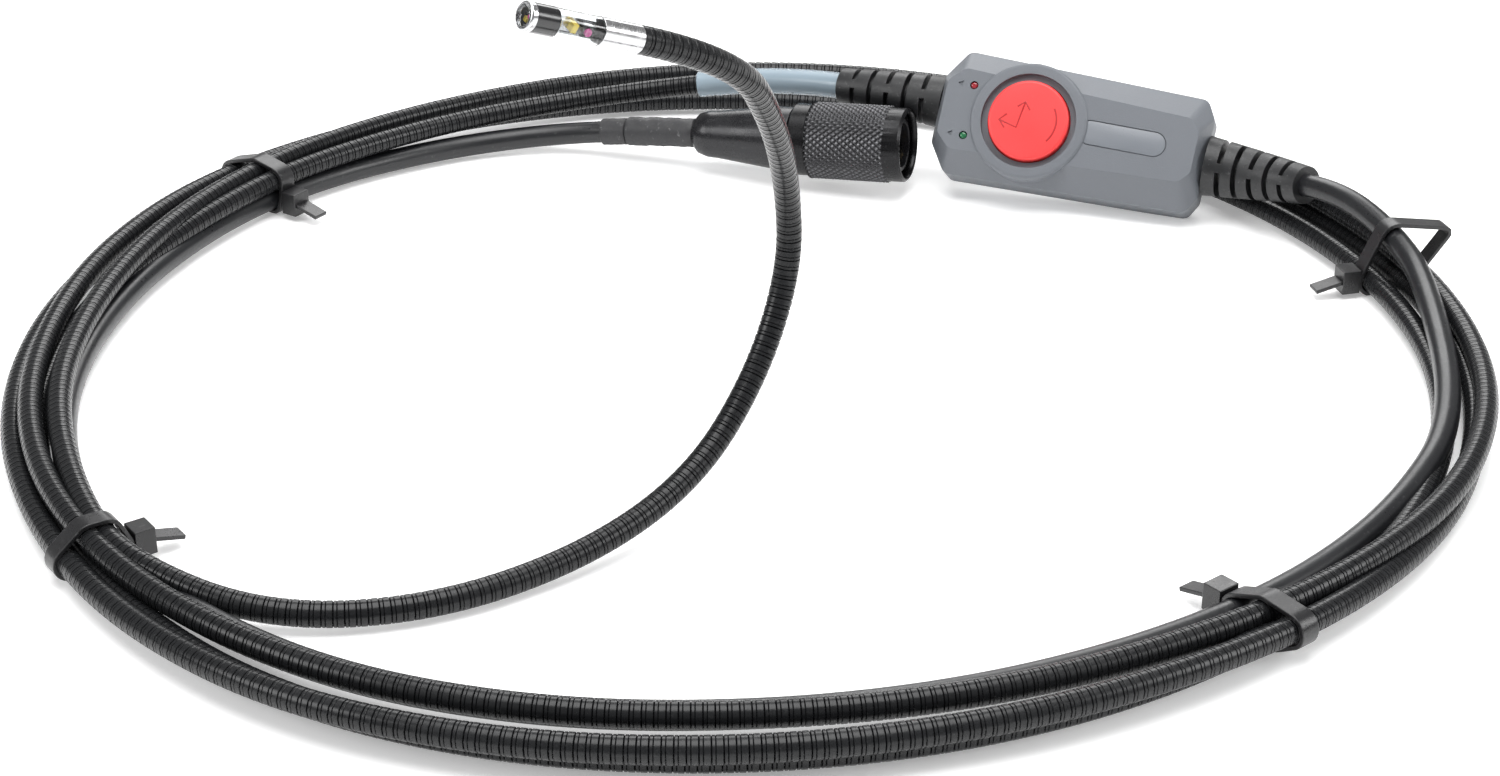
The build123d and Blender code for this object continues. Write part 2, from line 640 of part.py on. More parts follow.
with BuildPart() as head_chassis:
    with BuildSketch(plane_at(HEAD, x=-1.0, z=0.9)):
        Rectangle(1.2, 3.0)
    extrude(amount=21.5)
    with BuildSketch(plane_at(HEAD, z=22.4)):
        Circle(2.25)
    extrude(amount=0.5)
write(head_chassis, "head_chassis")

with BuildPart() as side_camera:
    with BuildSketch(across_head(-0.4, SIDE_LENS_Z)):
        RectangleRounded(2.4, 2.4, 0.3)
    extrude(amount=1.6)
write(side_camera, "side_camera")

with BuildPart() as side_lens:
    with BuildSketch(across_head(1.2, SIDE_LENS_Z)):
        Circle(0.75)
    extrude(amount=0.6)
    fillet(faces().sort_by(Axis((0, 0, 0), side)).last.edges(), radius=0.3)
write(side_lens, "side_lens")

with BuildPart() as side_led:
    with BuildSketch(across_head(-0.4, SIDE_LED_Z)):
        Rectangle(1.2, 1.6)
    extrude(amount=1.5)
write(side_led, "side_led")

FRONT_LENS_X, FRONT_LENS_Y = 0.65, 0.35
with BuildPart() as front_camera:
    with BuildSketch(plane_at(HEAD, x=FRONT_LENS_X, y=FRONT_LENS_Y, z=22.9)):
        Circle(0.95)
    extrude(amount=0.8)
write(front_camera, "front_camera")

with BuildPart() as front_lens:
    with BuildSketch(plane_at(HEAD, x=FRONT_LENS_X, y=FRONT_LENS_Y, z=23.7)):
        Circle(0.65)
    extrude(amount=0.5)
    fillet(faces().sort_by(Axis((0, 0, 0), head_axis)).last.edges(), radius=0.25)
write(front_lens, "front_lens")

with BuildPart() as front_leds:
    with BuildSketch(plane_at(HEAD, z=22.9)):
        with Locations((-1.0, 1.2), (-1.0, -1.0)):
            Rectangle(0.9, 0.9)
    extrude(amount=0.6)
write(front_leds, "front_leds")


# ---- cable ties ---------------------------------------------------------------------------------------
def cable_tie(name, angle, inner, outer, top, slack=0.0):
    """A strap round the coil in the plane of this angle, its lock on the inner side."""
    out = along(angle)
    frame = Plane(origin=(0, 0, 0), x_dir=out, z_dir=out.cross(Vector(0, 0, 1)))
    low, high = inner - 0.7, outer + 0.7 + slack
    width, height = high - low, top - STRAP_T
    middle = ((low + high) / 2, STRAP_T + height / 2)
    with BuildPart() as tie:
        with BuildSketch(frame):
            with Locations(middle):
                RectangleRounded(width + 2 * STRAP_T, height + 2 * STRAP_T, 3.2)
                RectangleRounded(width, height, 2.3, mode=Mode.SUBTRACT)
        extrude(amount=STRAP_W / 2, both=True)
        with BuildSketch(frame):
            with Locations((low - STRAP_T - 2.2, 4.2)):
                RectangleRounded(5.0, 5.0, 0.6)
        extrude(amount=STRAP_W / 2 + 0.7, both=True)
        with BuildSketch(frame):
            with Locations((low - STRAP_T - 7.0, 4.2)):
                Rectangle(6.0, STRAP_T)
        extrude(amount=STRAP_W / 2, both=True)
    write(tie, name)


cable_tie("cable_tie_a", 14, 151.0, 168.5, 18.0, 3.2)
cable_tie("cable_tie_b", 309, 147.4, 172.0, 12.4)
cable_tie("cable_tie_c", 145, 149.0, 171.6, 12.6)
cable_tie("cable_tie_d", 215.5, 155.8, 173.4, 12.6)
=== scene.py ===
import json
import logging
import math
from dataclasses import dataclass, field
from enum import Enum

import bmesh
import bpy
import numpy as np
from mathutils import Matrix, Vector
from mathutils.geometry import convex_hull_2d

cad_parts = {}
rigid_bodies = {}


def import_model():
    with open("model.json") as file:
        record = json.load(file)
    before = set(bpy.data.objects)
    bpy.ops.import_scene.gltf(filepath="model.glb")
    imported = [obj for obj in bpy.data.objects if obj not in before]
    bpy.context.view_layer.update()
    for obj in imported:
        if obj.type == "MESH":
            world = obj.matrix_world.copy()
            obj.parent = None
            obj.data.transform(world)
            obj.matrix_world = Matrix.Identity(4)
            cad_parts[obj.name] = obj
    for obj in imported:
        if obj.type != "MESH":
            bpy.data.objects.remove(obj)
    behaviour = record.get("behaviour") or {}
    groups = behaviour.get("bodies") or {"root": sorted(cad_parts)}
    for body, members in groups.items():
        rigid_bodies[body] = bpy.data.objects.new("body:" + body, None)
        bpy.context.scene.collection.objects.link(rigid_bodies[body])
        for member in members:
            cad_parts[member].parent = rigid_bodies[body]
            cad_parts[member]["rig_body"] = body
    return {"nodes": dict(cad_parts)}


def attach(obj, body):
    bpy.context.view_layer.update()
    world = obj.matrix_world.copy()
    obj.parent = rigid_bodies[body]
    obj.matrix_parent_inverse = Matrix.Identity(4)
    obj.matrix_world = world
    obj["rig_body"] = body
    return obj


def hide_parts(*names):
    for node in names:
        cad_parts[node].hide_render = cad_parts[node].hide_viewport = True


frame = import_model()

LOG = logging.getLogger("inspection_probe")
MM = 0.001
TAU = 2 * math.pi


class Body(Enum):
    """The three bodies that a piece can ride on."""

    PROBE = "probe"
    BUTTON = "button"
    COUPLING = "coupling"


class Slot(Enum):
    """The material slots of the record."""

    BOX = "box_plastic"
    BUTTON = "button_plastic"
    STEEL = "steel"
    BOOT = "boot_rubber"
    HOSE = "hose_armour"
    CABLE = "cable_jacket"
    CLEAR = "clear_sleeve"
    SHRINK = "heat_shrink"
    BLACK_METAL = "black_metal"
    TIE = "tie_plastic"
    HEAD_STEEL = "head_steel"
    WINDOW = "window"


# ---------------------------------------------------------------------------------------
# Small tools
# ---------------------------------------------------------------------------------------
def mm(x: float, y: float, z: float) -> Vector:
    """A point given in millimetres, returned in metres."""
    return Vector((x, y, z)) * MM


def heading(yaw: float, pitch: float = 0.0) -> Vector:
    """Unit vector with this yaw and climb, both in degrees."""
    yaw, pitch = math.radians(yaw), math.radians(pitch)
    return Vector((math.cos(pitch) * math.cos(yaw), math.cos(pitch) * math.sin(yaw), math.sin(pitch)))


def axes(origin: Vector, z_dir: Vector, x_hint: Vector) -> Matrix:
    """A placing matrix with its own z along one direction and x near another.

    Args:
        origin: where the local origin goes, in metres.
        z_dir: direction of the local z.
        x_hint: direction the local x leans towards.

    Returns:
        The 4x4 matrix from local to the shared frame.
    """
    z = z_dir.normalized()
    x = (x_hint - z * x_hint.dot(z)).normalized()
    y = z.cross(x)
    turn = Matrix((x, y, z)).transposed().to_4x4()
    return Matrix.Translation(origin) @ turn


def show(name: str, mesh: bpy.types.Mesh) -> bpy.types.Object:
    """Put a mesh into the scene as an object at the origin."""
    piece = bpy.data.objects.new(name, mesh)
    bpy.context.scene.collection.objects.link(piece)
    return piece


def finish_mesh(name: str, bm: bmesh.types.BMesh, smooth: float = 40.0) -> bpy.types.Object:
    """Turn a bmesh into an object, smooth except at edges sharper than an angle.

    Args:
        name: name of the new object.
        bm: the modelled shape; it is freed.
        smooth: angle in degrees above which an edge stays sharp.

    Returns:
        The new object.
    """
    bmesh.ops.recalc_face_normals(bm, faces=bm.faces[:])
    mark_sharp(bm, smooth)
    mesh = bpy.data.meshes.new(name)
    bm.to_mesh(mesh)
    bm.free()
    return show(name, mesh)


def mark_sharp(bm: bmesh.types.BMesh, angle: float) -> None:
    """Shade all faces smooth and mark every edge sharper than the angle in degrees."""
    limit = math.radians(angle)
    for face in bm.faces:
        face.smooth = True
    for edge in bm.edges:
        edge.smooth = len(edge.link_faces) == 2 and edge.calc_face_angle(0.0) < limit


def soften(piece: bpy.types.Object, width: float, segments: int = 2, angle: float = 30.0) -> None:
    """Round the sharp edges of a piece with a bevel of this width in metres."""
    bevel = piece.modifiers.new("rounded edges", "BEVEL")
    bevel.width = width
    bevel.segments = segments
    bevel.limit_method = "ANGLE"
    bevel.angle_limit = math.radians(angle)
    bevel.use_clamp_overlap = True
    bevel.harden_normals = True


def refined(node: str, name: str, width: float = 0.0, angle: float = 30.0) -> bpy.types.Object:
    """A merged, softened copy of a CAD node that is shown in its place.

    Args:
        node: the CAD node.
        name: name of the copy.
        width: bevel width in metres; 0 leaves the edges as they are.
        angle: edges sharper than this, in degrees, are rounded.

    Returns:
        The copy, riding on the node's body.
    """
    bm = bmesh.new()
    bm.from_mesh(frame["nodes"][node].data)
    bmesh.ops.remove_doubles(bm, verts=bm.verts[:], dist=2e-6)
    bmesh.ops.dissolve_limit(bm, angle_limit=math.radians(0.4), verts=bm.verts[:], edges=bm.edges[:])
    mark_sharp(bm, angle)
    mesh = bpy.data.meshes.new(name)
    bm.to_mesh(mesh)
    bm.free()
    piece = show(name, mesh)
    if width:
        soften(piece, width, angle=angle)
    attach(piece, body_of(node))
    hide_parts(node)
    return piece


def body_of(node: str) -> str:
    """Name of the CAD body that a node belongs to."""
    return frame["nodes"][node]["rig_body"]


def dress(piece: bpy.types.Object, finish: "Finish") -> bpy.types.Object:
    """Give a piece its material."""
    piece.data.materials.clear()
    piece.data.materials.append(finish.material())
    LOG.info("%s: %s", piece.name, finish.name)
    return piece


def as_mesh(curve: bpy.types.Object) -> bpy.types.Object:
    """Turn a curve object into a mesh object of the same name."""
    bpy.context.scene.collection.objects.link(curve)
    bpy.context.view_layer.update()
    mesh = bpy.data.meshes.new_from_object(curve)
    name = curve.name
    bpy.data.objects.remove(curve)
    for polygon in mesh.polygons:
        polygon.use_smooth = True
    return show(name, mesh)


# ---------------------------------------------------------------------------------------
# Shared shader groups
# ---------------------------------------------------------------------------------------
def shader_group(name: str, inputs: tuple, outputs: tuple) -> bpy.types.NodeTree:
    """An empty shader group with float sockets.

    Args:
        name: name of the group.
        inputs: pairs of socket name and default value.
        outputs: names of the float outputs.

    Returns:
        The new node tree, with its input and output nodes in place.
    """
    tree = bpy.data.node_groups.new(name, "ShaderNodeTree")
    for socket, value in inputs:
        made = tree.interface.new_socket(socket, in_out="INPUT", socket_type="NodeSocketFloat")
        made.default_value = value
    for socket in outputs:
        tree.interface.new_socket(socket, in_out="OUTPUT", socket_type="NodeSocketFloat")
    tree.nodes.new("NodeGroupInput")
    tree.nodes.new("NodeGroupOutput")
    return tree


def noise_in(tree: bpy.types.NodeTree, scale: bpy.types.NodeSocket, detail: float) -> bpy.types.Node:
    """A noise texture on Object coordinates whose scale comes from a socket."""
    place = tree.nodes.new("ShaderNodeTexCoord")
    noise = tree.nodes.new("ShaderNodeTexNoise")
    noise.inputs["Detail"].default_value = detail
    tree.links.new(place.outputs["Object"], noise.inputs["Vector"])
    tree.links.new(scale, noise.inputs["Scale"])
    return noise


def grain_group() -> bpy.types.NodeTree:
    """Moulded grain: a fine height, and a broad tint that varies over the surface."""
    if "moulded grain" in bpy.data.node_groups:
        return bpy.data.node_groups["moulded grain"]
    tree = shader_group("moulded grain", (("Grain", 3000.0), ("Patch", 60.0)), ("Height", "Tint", "Gloss"))
    source = tree.nodes["Group Input"]
    result = tree.nodes["Group Output"]
    fine = noise_in(tree, source.outputs["Grain"], 3.0)
    broad = noise_in(tree, source.outputs["Patch"], 4.0)
    cells = tree.nodes.new("ShaderNodeTexVoronoi")
    place = tree.nodes.new("ShaderNodeTexCoord")
    tree.links.new(place.outputs["Object"], cells.inputs["Vector"])
    tree.links.new(source.outputs["Grain"], cells.inputs["Scale"])
    mix = tree.nodes.new("ShaderNodeMath")
    mix.operation = "MULTIPLY"
    tree.links.new(fine.outputs["Fac"], mix.inputs[0])
    tree.links.new(cells.outputs["Distance"], mix.inputs[1])
    tree.links.new(mix.outputs[0], result.inputs["Height"])
    tree.links.new(broad.outputs["Fac"], result.inputs["Tint"])
    gloss = tree.nodes.new("ShaderNodeMath")
    gloss.operation = "ADD"
    tree.links.new(fine.outputs["Fac"], gloss.inputs[0])
    tree.links.new(broad.outputs["Fac"], gloss.inputs[1])
    tree.links.new(gloss.outputs[0], result.inputs["Gloss"])
    return tree


def dust_group() -> bpy.types.NodeTree:
    """Handling dust: a mask of small pale specks and a faint film."""
    if "handling dust" in bpy.data.node_groups:
        return bpy.data.node_groups["handling dust"]
    tree = shader_group("handling dust", (("Size", 900.0), ("Cover", 0.1)), ("Mask",))
    source = tree.nodes["Group Input"]
    result = tree.nodes["Group Output"]
    specks = noise_in(tree, source.outputs["Size"], 6.0)
    ramp = tree.nodes.new("ShaderNodeMapRange")
    ramp.inputs["From Min"].default_value = 0.62
    ramp.inputs["From Max"].default_value = 0.8
    tree.links.new(specks.outputs["Fac"], ramp.inputs["Value"])
    scaled = tree.nodes.new("ShaderNodeMath")
    scaled.operation = "MULTIPLY"
    tree.links.new(ramp.outputs["Result"], scaled.inputs[0])
    tree.links.new(source.outputs["Cover"], scaled.inputs[1])
    tree.links.new(scaled.outputs[0], result.inputs["Mask"])
    return tree


# ---------------------------------------------------------------------------------------
# Finishes
# ---------------------------------------------------------------------------------------
@dataclass(frozen=True)
class Finish:
    """A moulded, rubber or metal surface with grain, uneven gloss and a little dust."""

    name: str
    colour: tuple[float, float, float]
    roughness: float
    metallic: float = 0.0
    grain: float = 3000.0
    depth: float = 0.01
    patch: float = 60.0
    uneven: float = 0.12
    gloss_spread: float = 0.12
    dust: float = 0.05
    specular: float = 0.5
    coat: float = 0.0

    def material(self) -> bpy.types.Material:
        """The node material of this finish, made once."""
        known = bpy.data.materials.get(self.name)
        if known:
            return known
        made = bpy.data.materials.new(self.name)
        made.use_nodes = True
        self.fill(made)
        return made

    def fill(self, made: bpy.types.Material) -> None:
        """Lay out the nodes of the material."""
        tree = made.node_tree
        shader = tree.nodes["Principled BSDF"]
        shader.inputs["Metallic"].default_value = self.metallic
        shader.inputs["Specular IOR Level"].default_value = self.specular
        shader.inputs["Coat Weight"].default_value = self.coat
        shader.inputs["Coat Roughness"].default_value = 0.15
        grain = tree.nodes.new("ShaderNodeGroup")
        grain.node_tree = grain_group()
        grain.inputs["Grain"].default_value = self.grain
        grain.inputs["Patch"].default_value = self.patch
        tinted = self.tint(tree, grain.outputs["Tint"])
        dusted = self.dusting(tree, tinted)
        tree.links.new(dusted, shader.inputs["Base Color"])
        gloss = self.span(tree, grain.outputs["Gloss"], 0.6, 1.4)
        tree.links.new(gloss, shader.inputs["Roughness"])
        bump = tree.nodes.new("ShaderNodeBump")
        bump.inputs["Distance"].default_value = self.depth * MM
        bump.inputs["Strength"].default_value = 1.0
        tree.links.new(grain.outputs["Height"], bump.inputs["Height"])
        tree.links.new(bump.outputs["Normal"], shader.inputs["Normal"])

    def tint(self, tree: bpy.types.NodeTree, mask: bpy.types.NodeSocket) -> bpy.types.NodeSocket:
        """Base colour that is a little darker and lighter in broad patches."""
        mix = tree.nodes.new("ShaderNodeMix")
        mix.data_type = "RGBA"
        low = [c * (1 - self.uneven) for c in self.colour]
        high = [min(1.0, c * (1 + self.uneven)) for c in self.colour]
        mix.inputs[6].default_value = (*low, 1)
        mix.inputs[7].default_value = (*high, 1)
        tree.links.new(mask, mix.inputs[0])
        return mix.outputs[2]

    def dusting(self, tree: bpy.types.NodeTree, base: bpy.types.NodeSocket) -> bpy.types.NodeSocket:
        """Lay dust over a colour."""
        dust = tree.nodes.new("ShaderNodeGroup")
        dust.node_tree = dust_group()
        dust.inputs["Cover"].default_value = self.dust
        mix = tree.nodes.new("ShaderNodeMix")
        mix.data_type = "RGBA"
        mix.inputs[7].default_value = (0.55, 0.55, 0.56, 1)
        tree.links.new(dust.outputs["Mask"], mix.inputs[0])
        tree.links.new(base, mix.inputs[6])
        return mix.outputs[2]

    def span(self, tree: bpy.types.NodeTree, value: bpy.types.NodeSocket, low: float,
             high: float) -> bpy.types.NodeSocket:
        """Roughness spread about its middle value.

        Args:
            tree: the material's node tree.
            value: the mask that drives the spread.
            low: mask value that gives the glossiest surface.
            high: mask value that gives the roughest surface.

        Returns:
            The socket that carries the roughness.
        """
        ramp = tree.nodes.new("ShaderNodeMapRange")
        ramp.inputs["From Min"].default_value = low
        ramp.inputs["From Max"].default_value = high
        ramp.inputs["To Min"].default_value = max(0.03, self.roughness - self.gloss_spread)
        ramp.inputs["To Max"].default_value = min(1.0, self.roughness + self.gloss_spread)
        tree.links.new(value, ramp.inputs["Value"])
        return ramp.outputs["Result"]


@dataclass(frozen=True)
class GrooveShadedFinish(Finish):
    """Hose armour and knurl: the grooves between the crests are painted darker, as painted shade in the
    recesses.
    """

    # painted shade: a near-black colour laid into the grooves, where shade falls
    groove_shade: tuple[float, float, float] = (0.004, 0.004, 0.005)

    def tint(self, tree: bpy.types.NodeTree, mask: bpy.types.NodeSocket) -> bpy.types.NodeSocket:
        """Painted shade colour in the grooves, armour colour on the crests, mixed by a vertex mask."""
        patchy = super().tint(tree, mask)
        # vertex mask: 1 on the crests, 0 in the grooves, where the painted shade goes
        crest_unshaded = tree.nodes.new("ShaderNodeAttribute")
        crest_unshaded.attribute_name = "crest_unshaded"
        mix = tree.nodes.new("ShaderNodeMix")
        mix.data_type = "RGBA"
        mix.inputs[6].default_value = (*self.groove_shade, 1)
        tree.links.new(crest_unshaded.outputs["Fac"], mix.inputs[0])
        tree.links.new(patchy, mix.inputs[7])
        return mix.outputs[2]


@dataclass(frozen=True)
class ClearFinish(Finish):
    """Clear or tinted plastic and glass, lightly scuffed."""

    ior: float = 1.45
    alpha: float = 1.0
    transmission: float = 1.0

    def fill(self, made: bpy.types.Material) -> None:
        """Lay out the nodes, then let light through."""
        super().fill(made)
        shader = made.node_tree.nodes["Principled BSDF"]
        shader.inputs["Transmission Weight"].default_value = self.transmission
        shader.inputs["IOR"].default_value = self.ior
        shader.inputs["Alpha"].default_value = self.alpha


@dataclass(frozen=True)
class TurnedFinish(Finish):
    """Turned metal: fine lines round an axis, worn paler in patches."""

    axis: tuple[float, float, float] = (0.0, 0.0, 1.0)
    lines: float = 9000.0

    def span(self, tree: bpy.types.NodeTree, value: bpy.types.NodeSocket, low: float,
             high: float) -> bpy.types.NodeSocket:
        """Roughness that follows the turning lines as well as the patches."""
        place = tree.nodes.new("ShaderNodeTexCoord")
        along = tree.nodes.new("ShaderNodeVectorMath")
        along.operation = "DOT_PRODUCT"
        along.inputs[1].default_value = self.axis
        tree.links.new(place.outputs["Object"], along.inputs[0])
        lines = tree.nodes.new("ShaderNodeTexNoise")
        lines.noise_dimensions = "1D"
        lines.inputs["Scale"].default_value = self.lines
        tree.links.new(along.outputs["Value"], lines.inputs["W"])
        add = tree.nodes.new("ShaderNodeMath")
        add.operation = "ADD"
        tree.links.new(value, add.inputs[0])
        tree.links.new(lines.outputs["Fac"], add.inputs[1])
        return super().span(tree, add.outputs[0], low + 0.5, high + 0.5)


class Look:
    """Every finish used on the probe."""

    BOX = Finish("grey soft-touch plastic", (0.128, 0.138, 0.154), 0.5, grain=2600, depth=0.035,
                 patch=45, uneven=0.06, gloss_spread=0.1, dust=0.03)
    BUTTON = Finish("coral button plastic", (0.80, 0.042, 0.042), 0.42, grain=3200, depth=0.02,
                    patch=80, uneven=0.05, dust=0.02)
    BUTTON_MARK = Finish("button mark", (0.36, 0.008, 0.01), 0.5, grain=3200, depth=0.01, dust=0.0)
    BOOT = Finish("boot rubber", (0.009, 0.0095, 0.0105), 0.44, grain=2200, depth=0.03, patch=90,
                  uneven=0.25, gloss_spread=0.14, dust=0.12)
    # hose armour: its grooves get a near-black painted shade from the vertex mask
    HOSE = GrooveShadedFinish("hose armour", (0.011, 0.0115, 0.0125), 0.27, grain=2500, depth=0.008, patch=40,
                        uneven=0.2, gloss_spread=0.08, dust=0.03, specular=0.3)
    CABLE = Finish("cable jacket", (0.008, 0.0085, 0.010), 0.36, grain=1800, depth=0.012, patch=35,
                   uneven=0.2, gloss_spread=0.12, dust=0.07)
    SHRINK = Finish("shrunk sleeve", (0.022, 0.022, 0.024), 0.55, grain=1400, depth=0.02, patch=160,
                    uneven=0.3, gloss_spread=0.15, dust=0.2)
    SLEEVE = ClearFinish("clear sleeve", (0.45, 0.56, 0.64), 0.16, grain=900, depth=0.02, patch=120,
                         uneven=0.05, gloss_spread=0.08, dust=0.05, alpha=0.42, transmission=0.0)
    GLASS = ClearFinish("head window", (0.93, 0.95, 0.96), 0.05, grain=800, depth=0.002, patch=200,
                        uneven=0.02, gloss_spread=0.03, dust=0.03)
    LENS = Finish("coated lens", (0.62, 0.02, 0.28), 0.08, grain=900, depth=0.0, patch=1200, uneven=0.6,
                  gloss_spread=0.03, dust=0.0, coat=1.0)
    LED = Finish("lamp phosphor", (0.85, 0.62, 0.07), 0.4, grain=4000, depth=0.01, patch=1500,
                 uneven=0.25, dust=0.0)
    RED_LAMP = Finish("red lamp", (0.26, 0.012, 0.02), 0.18, grain=2000, depth=0.0, patch=900,
                      uneven=0.3, dust=0.0, coat=0.8)
    GREEN_LAMP = Finish("green lamp", (0.01, 0.12, 0.045), 0.18, grain=2000, depth=0.0, patch=900,
                        uneven=0.3, dust=0.0, coat=0.8)
    STEEL = Finish("steel fittings", (0.55, 0.55, 0.57), 0.3, metallic=1.0, grain=4000, depth=0.004,
                   patch=300, uneven=0.08, dust=0.03)
    TIE = Finish("cable tie nylon", (0.012, 0.012, 0.013), 0.34, grain=2600, depth=0.012, patch=120,
                 uneven=0.2, dust=0.08)
    BOARD = Finish("solder mask", (0.01, 0.09, 0.035), 0.4, grain=2500, depth=0.006, dust=0.02)
    CHIP = Finish("moulded chips", (0.012, 0.012, 0.013), 0.45, grain=3000, depth=0.006, dust=0.02)
    WIRE = Finish("wire insulation", (0.02, 0.02, 0.022), 0.4, grain=2500, depth=0.004, dust=0.02)
    GOLD = Finish("plated contacts", (0.83, 0.6, 0.22), 0.22, metallic=1.0, grain=4000, depth=0.002,
                  dust=0.0)
    BADGE = Finish("badge plate", (0.165, 0.178, 0.198), 0.35, grain=2600, depth=0.01, patch=60,
                   uneven=0.05, dust=0.02)
    # knurled ring: its cut valleys get a darker painted shade from the vertex mask
    KNURL = GrooveShadedFinish("knurled ring", (0.15, 0.15, 0.16), 0.28, metallic=0.6, grain=3000, depth=0.004,
                         patch=120, uneven=0.25, dust=0.05, groove_shade=(0.006, 0.006, 0.007))
    BLACK_METAL = Finish("black anodised metal", (0.012, 0.012, 0.014), 0.3, metallic=0.3, grain=3500,
                         depth=0.004, patch=120, uneven=0.2, dust=0.05)
    INSERT = Finish("pin insert plastic", (0.02, 0.02, 0.022), 0.5, grain=3000, depth=0.008, dust=0.03)
    CAP = Finish("head black plastic", (0.008, 0.008, 0.009), 0.22, grain=3000, depth=0.003, patch=300,
                 uneven=0.15, dust=0.02, coat=0.5)
    HEAD_STEEL = TurnedFinish("turned head steel", (0.62, 0.62, 0.63), 0.22, metallic=1.0, grain=4000,
                              depth=0.002, patch=500, uneven=0.08, dust=0.02,
                              axis=(-0.746, -0.553, 0.369))
    FLOOR = Finish("studio floor", (0.9, 0.9, 0.9), 0.6, grain=400, depth=0.0, patch=3, uneven=0.004,
                   gloss_spread=0.02, dust=0.0, specular=0.2)


# ---------------------------------------------------------------------------------------
# Studio
# ---------------------------------------------------------------------------------------
@dataclass(frozen=True)
class Softbox:
    """A square light that points at the middle of the coil: place and size in metres, watts."""

    name: str
    at: tuple[float, float, float]
    size: float
    power: float

    def build(self) -> None:
        """Make the light."""
        data = bpy.data.lights.new(self.name, "AREA")
        data.shape = "SQUARE"
        data.size = self.size
        data.energy = self.power
        lamp = bpy.data.objects.new(self.name, data)
        lamp.location = self.at
        lamp.rotation_euler = (-Vector(self.at)).to_track_quat("-Z", "Y").to_euler()
        bpy.context.scene.collection.objects.link(lamp)


@dataclass
class Studio:
    """Camera, pale floor and soft lights."""

    camera_at: Vector = field(default_factory=lambda: mm(-1.5, -580.7, 289.8))
    look_down: float = 27.1
    lens: float = 66.84
    floor_size: float = 12.0
    floor_drop: float = 0.0002
    floor_glow: float = 0.3
    sky: float = 0.3
    lights: tuple[Softbox, ...] = (
        Softbox("top", (0.0, -0.1, 1.3), 1.1, 21.0), Softbox("left", (-1.3, -0.5, 0.8), 0.7, 10.0),
        Softbox("right", (1.2, -0.3, 0.7), 0.6, 8.0), Softbox("back", (0.1, 1.2, 0.9), 0.9, 11.0))

    def build(self) -> None:
        """Make the camera first, then the floor and the lights."""
        self.make_camera()
        self.make_floor()
        self.make_lights()

    def make_camera(self) -> None:
        """A camera on the probe's front side, looking down at the coil."""
        data = bpy.data.cameras.new("camera")
        data.lens = self.lens
        data.sensor_width = 36.0
        data.clip_start = 0.01
        camera = bpy.data.objects.new("camera", data)
        camera.location = self.camera_at
        camera.rotation_euler = (math.radians(90 - self.look_down), 0, 0)
        bpy.context.scene.collection.objects.link(camera)
        bpy.context.scene.camera = camera

    def make_floor(self) -> None:
        """A wide pale floor just under the coil."""
        bm = bmesh.new()
        bmesh.ops.create_grid(bm, x_segments=2, y_segments=2, size=self.floor_size / 2)
        bmesh.ops.translate(bm, verts=bm.verts[:], vec=(0, 0, -self.floor_drop))
        floor = finish_mesh("floor", bm)
        floor.data.materials.append(Look.FLOOR.material())
        shader = floor.data.materials[0].node_tree.nodes["Principled BSDF"]
        shader.inputs["Emission Color"].default_value = (1, 1, 1, 1)
        shader.inputs["Emission Strength"].default_value = self.floor_glow

    def make_lights(self) -> None:
        """Large soft lights above and beside the probe, and a pale world."""
        for light in self.lights:
            light.build()
        world = bpy.data.worlds.new("pale world")
        world.use_nodes = True
        world.node_tree.nodes["Background"].inputs["Color"].default_value = (1, 1, 1, 1)
        world.node_tree.nodes["Background"].inputs["Strength"].default_value = self.sky
        bpy.context.scene.world = world
        bpy.context.scene.view_settings.view_transform = "Standard"


# ---------------------------------------------------------------------------------------
# Routes: where the hose and the cable run
# ---------------------------------------------------------------------------------------
@dataclass
class Lane:
    """Radius and height of a coiled cord, in millimetres, every step of angle in degrees."""

    start: float
    step: float
    stations: tuple[tuple[float, float], ...]

    def points(self) -> list[Vector]:
        """Control points every half step, smoothed between the stations.

        Returns:
            Points in metres; each radius is raised so that the smooth spline, which runs
            inside its control points, keeps the radius that was asked for.
        """
        half = self.step / 2
        inside = 0.75 + 0.25 * math.cos(math.radians(half))
        made = []
        for i in range(2 * len(self.stations) - 1):
            angle = math.radians(self.start + half * i)
            radius, height = self.between(i // 2, 0.5 * (i % 2))
            radius = radius / inside
            made.append(mm(radius * math.cos(angle), radius * math.sin(angle), height))
        return made

    def between(self, i: int, part: float) -> tuple[float, float]:
        """Radius and height a part of the way from one station to the next."""
        last = len(self.stations) - 1
        rows = [self.stations[min(max(i + k, 0), last)] for k in (-1, 0, 1, 2)]
        weights = (0.5 * (-part + 2 * part ** 2 - part ** 3), 0.5 * (2 - 5 * part ** 2 + 3 * part ** 3),
                   0.5 * (part + 4 * part ** 2 - 3 * part ** 3), 0.5 * (part ** 3 - part ** 2))
        radius = sum(w * row[0] for w, row in zip(weights, rows))
        height = sum(w * row[1] for w, row in zip(weights, rows))
        return radius, height


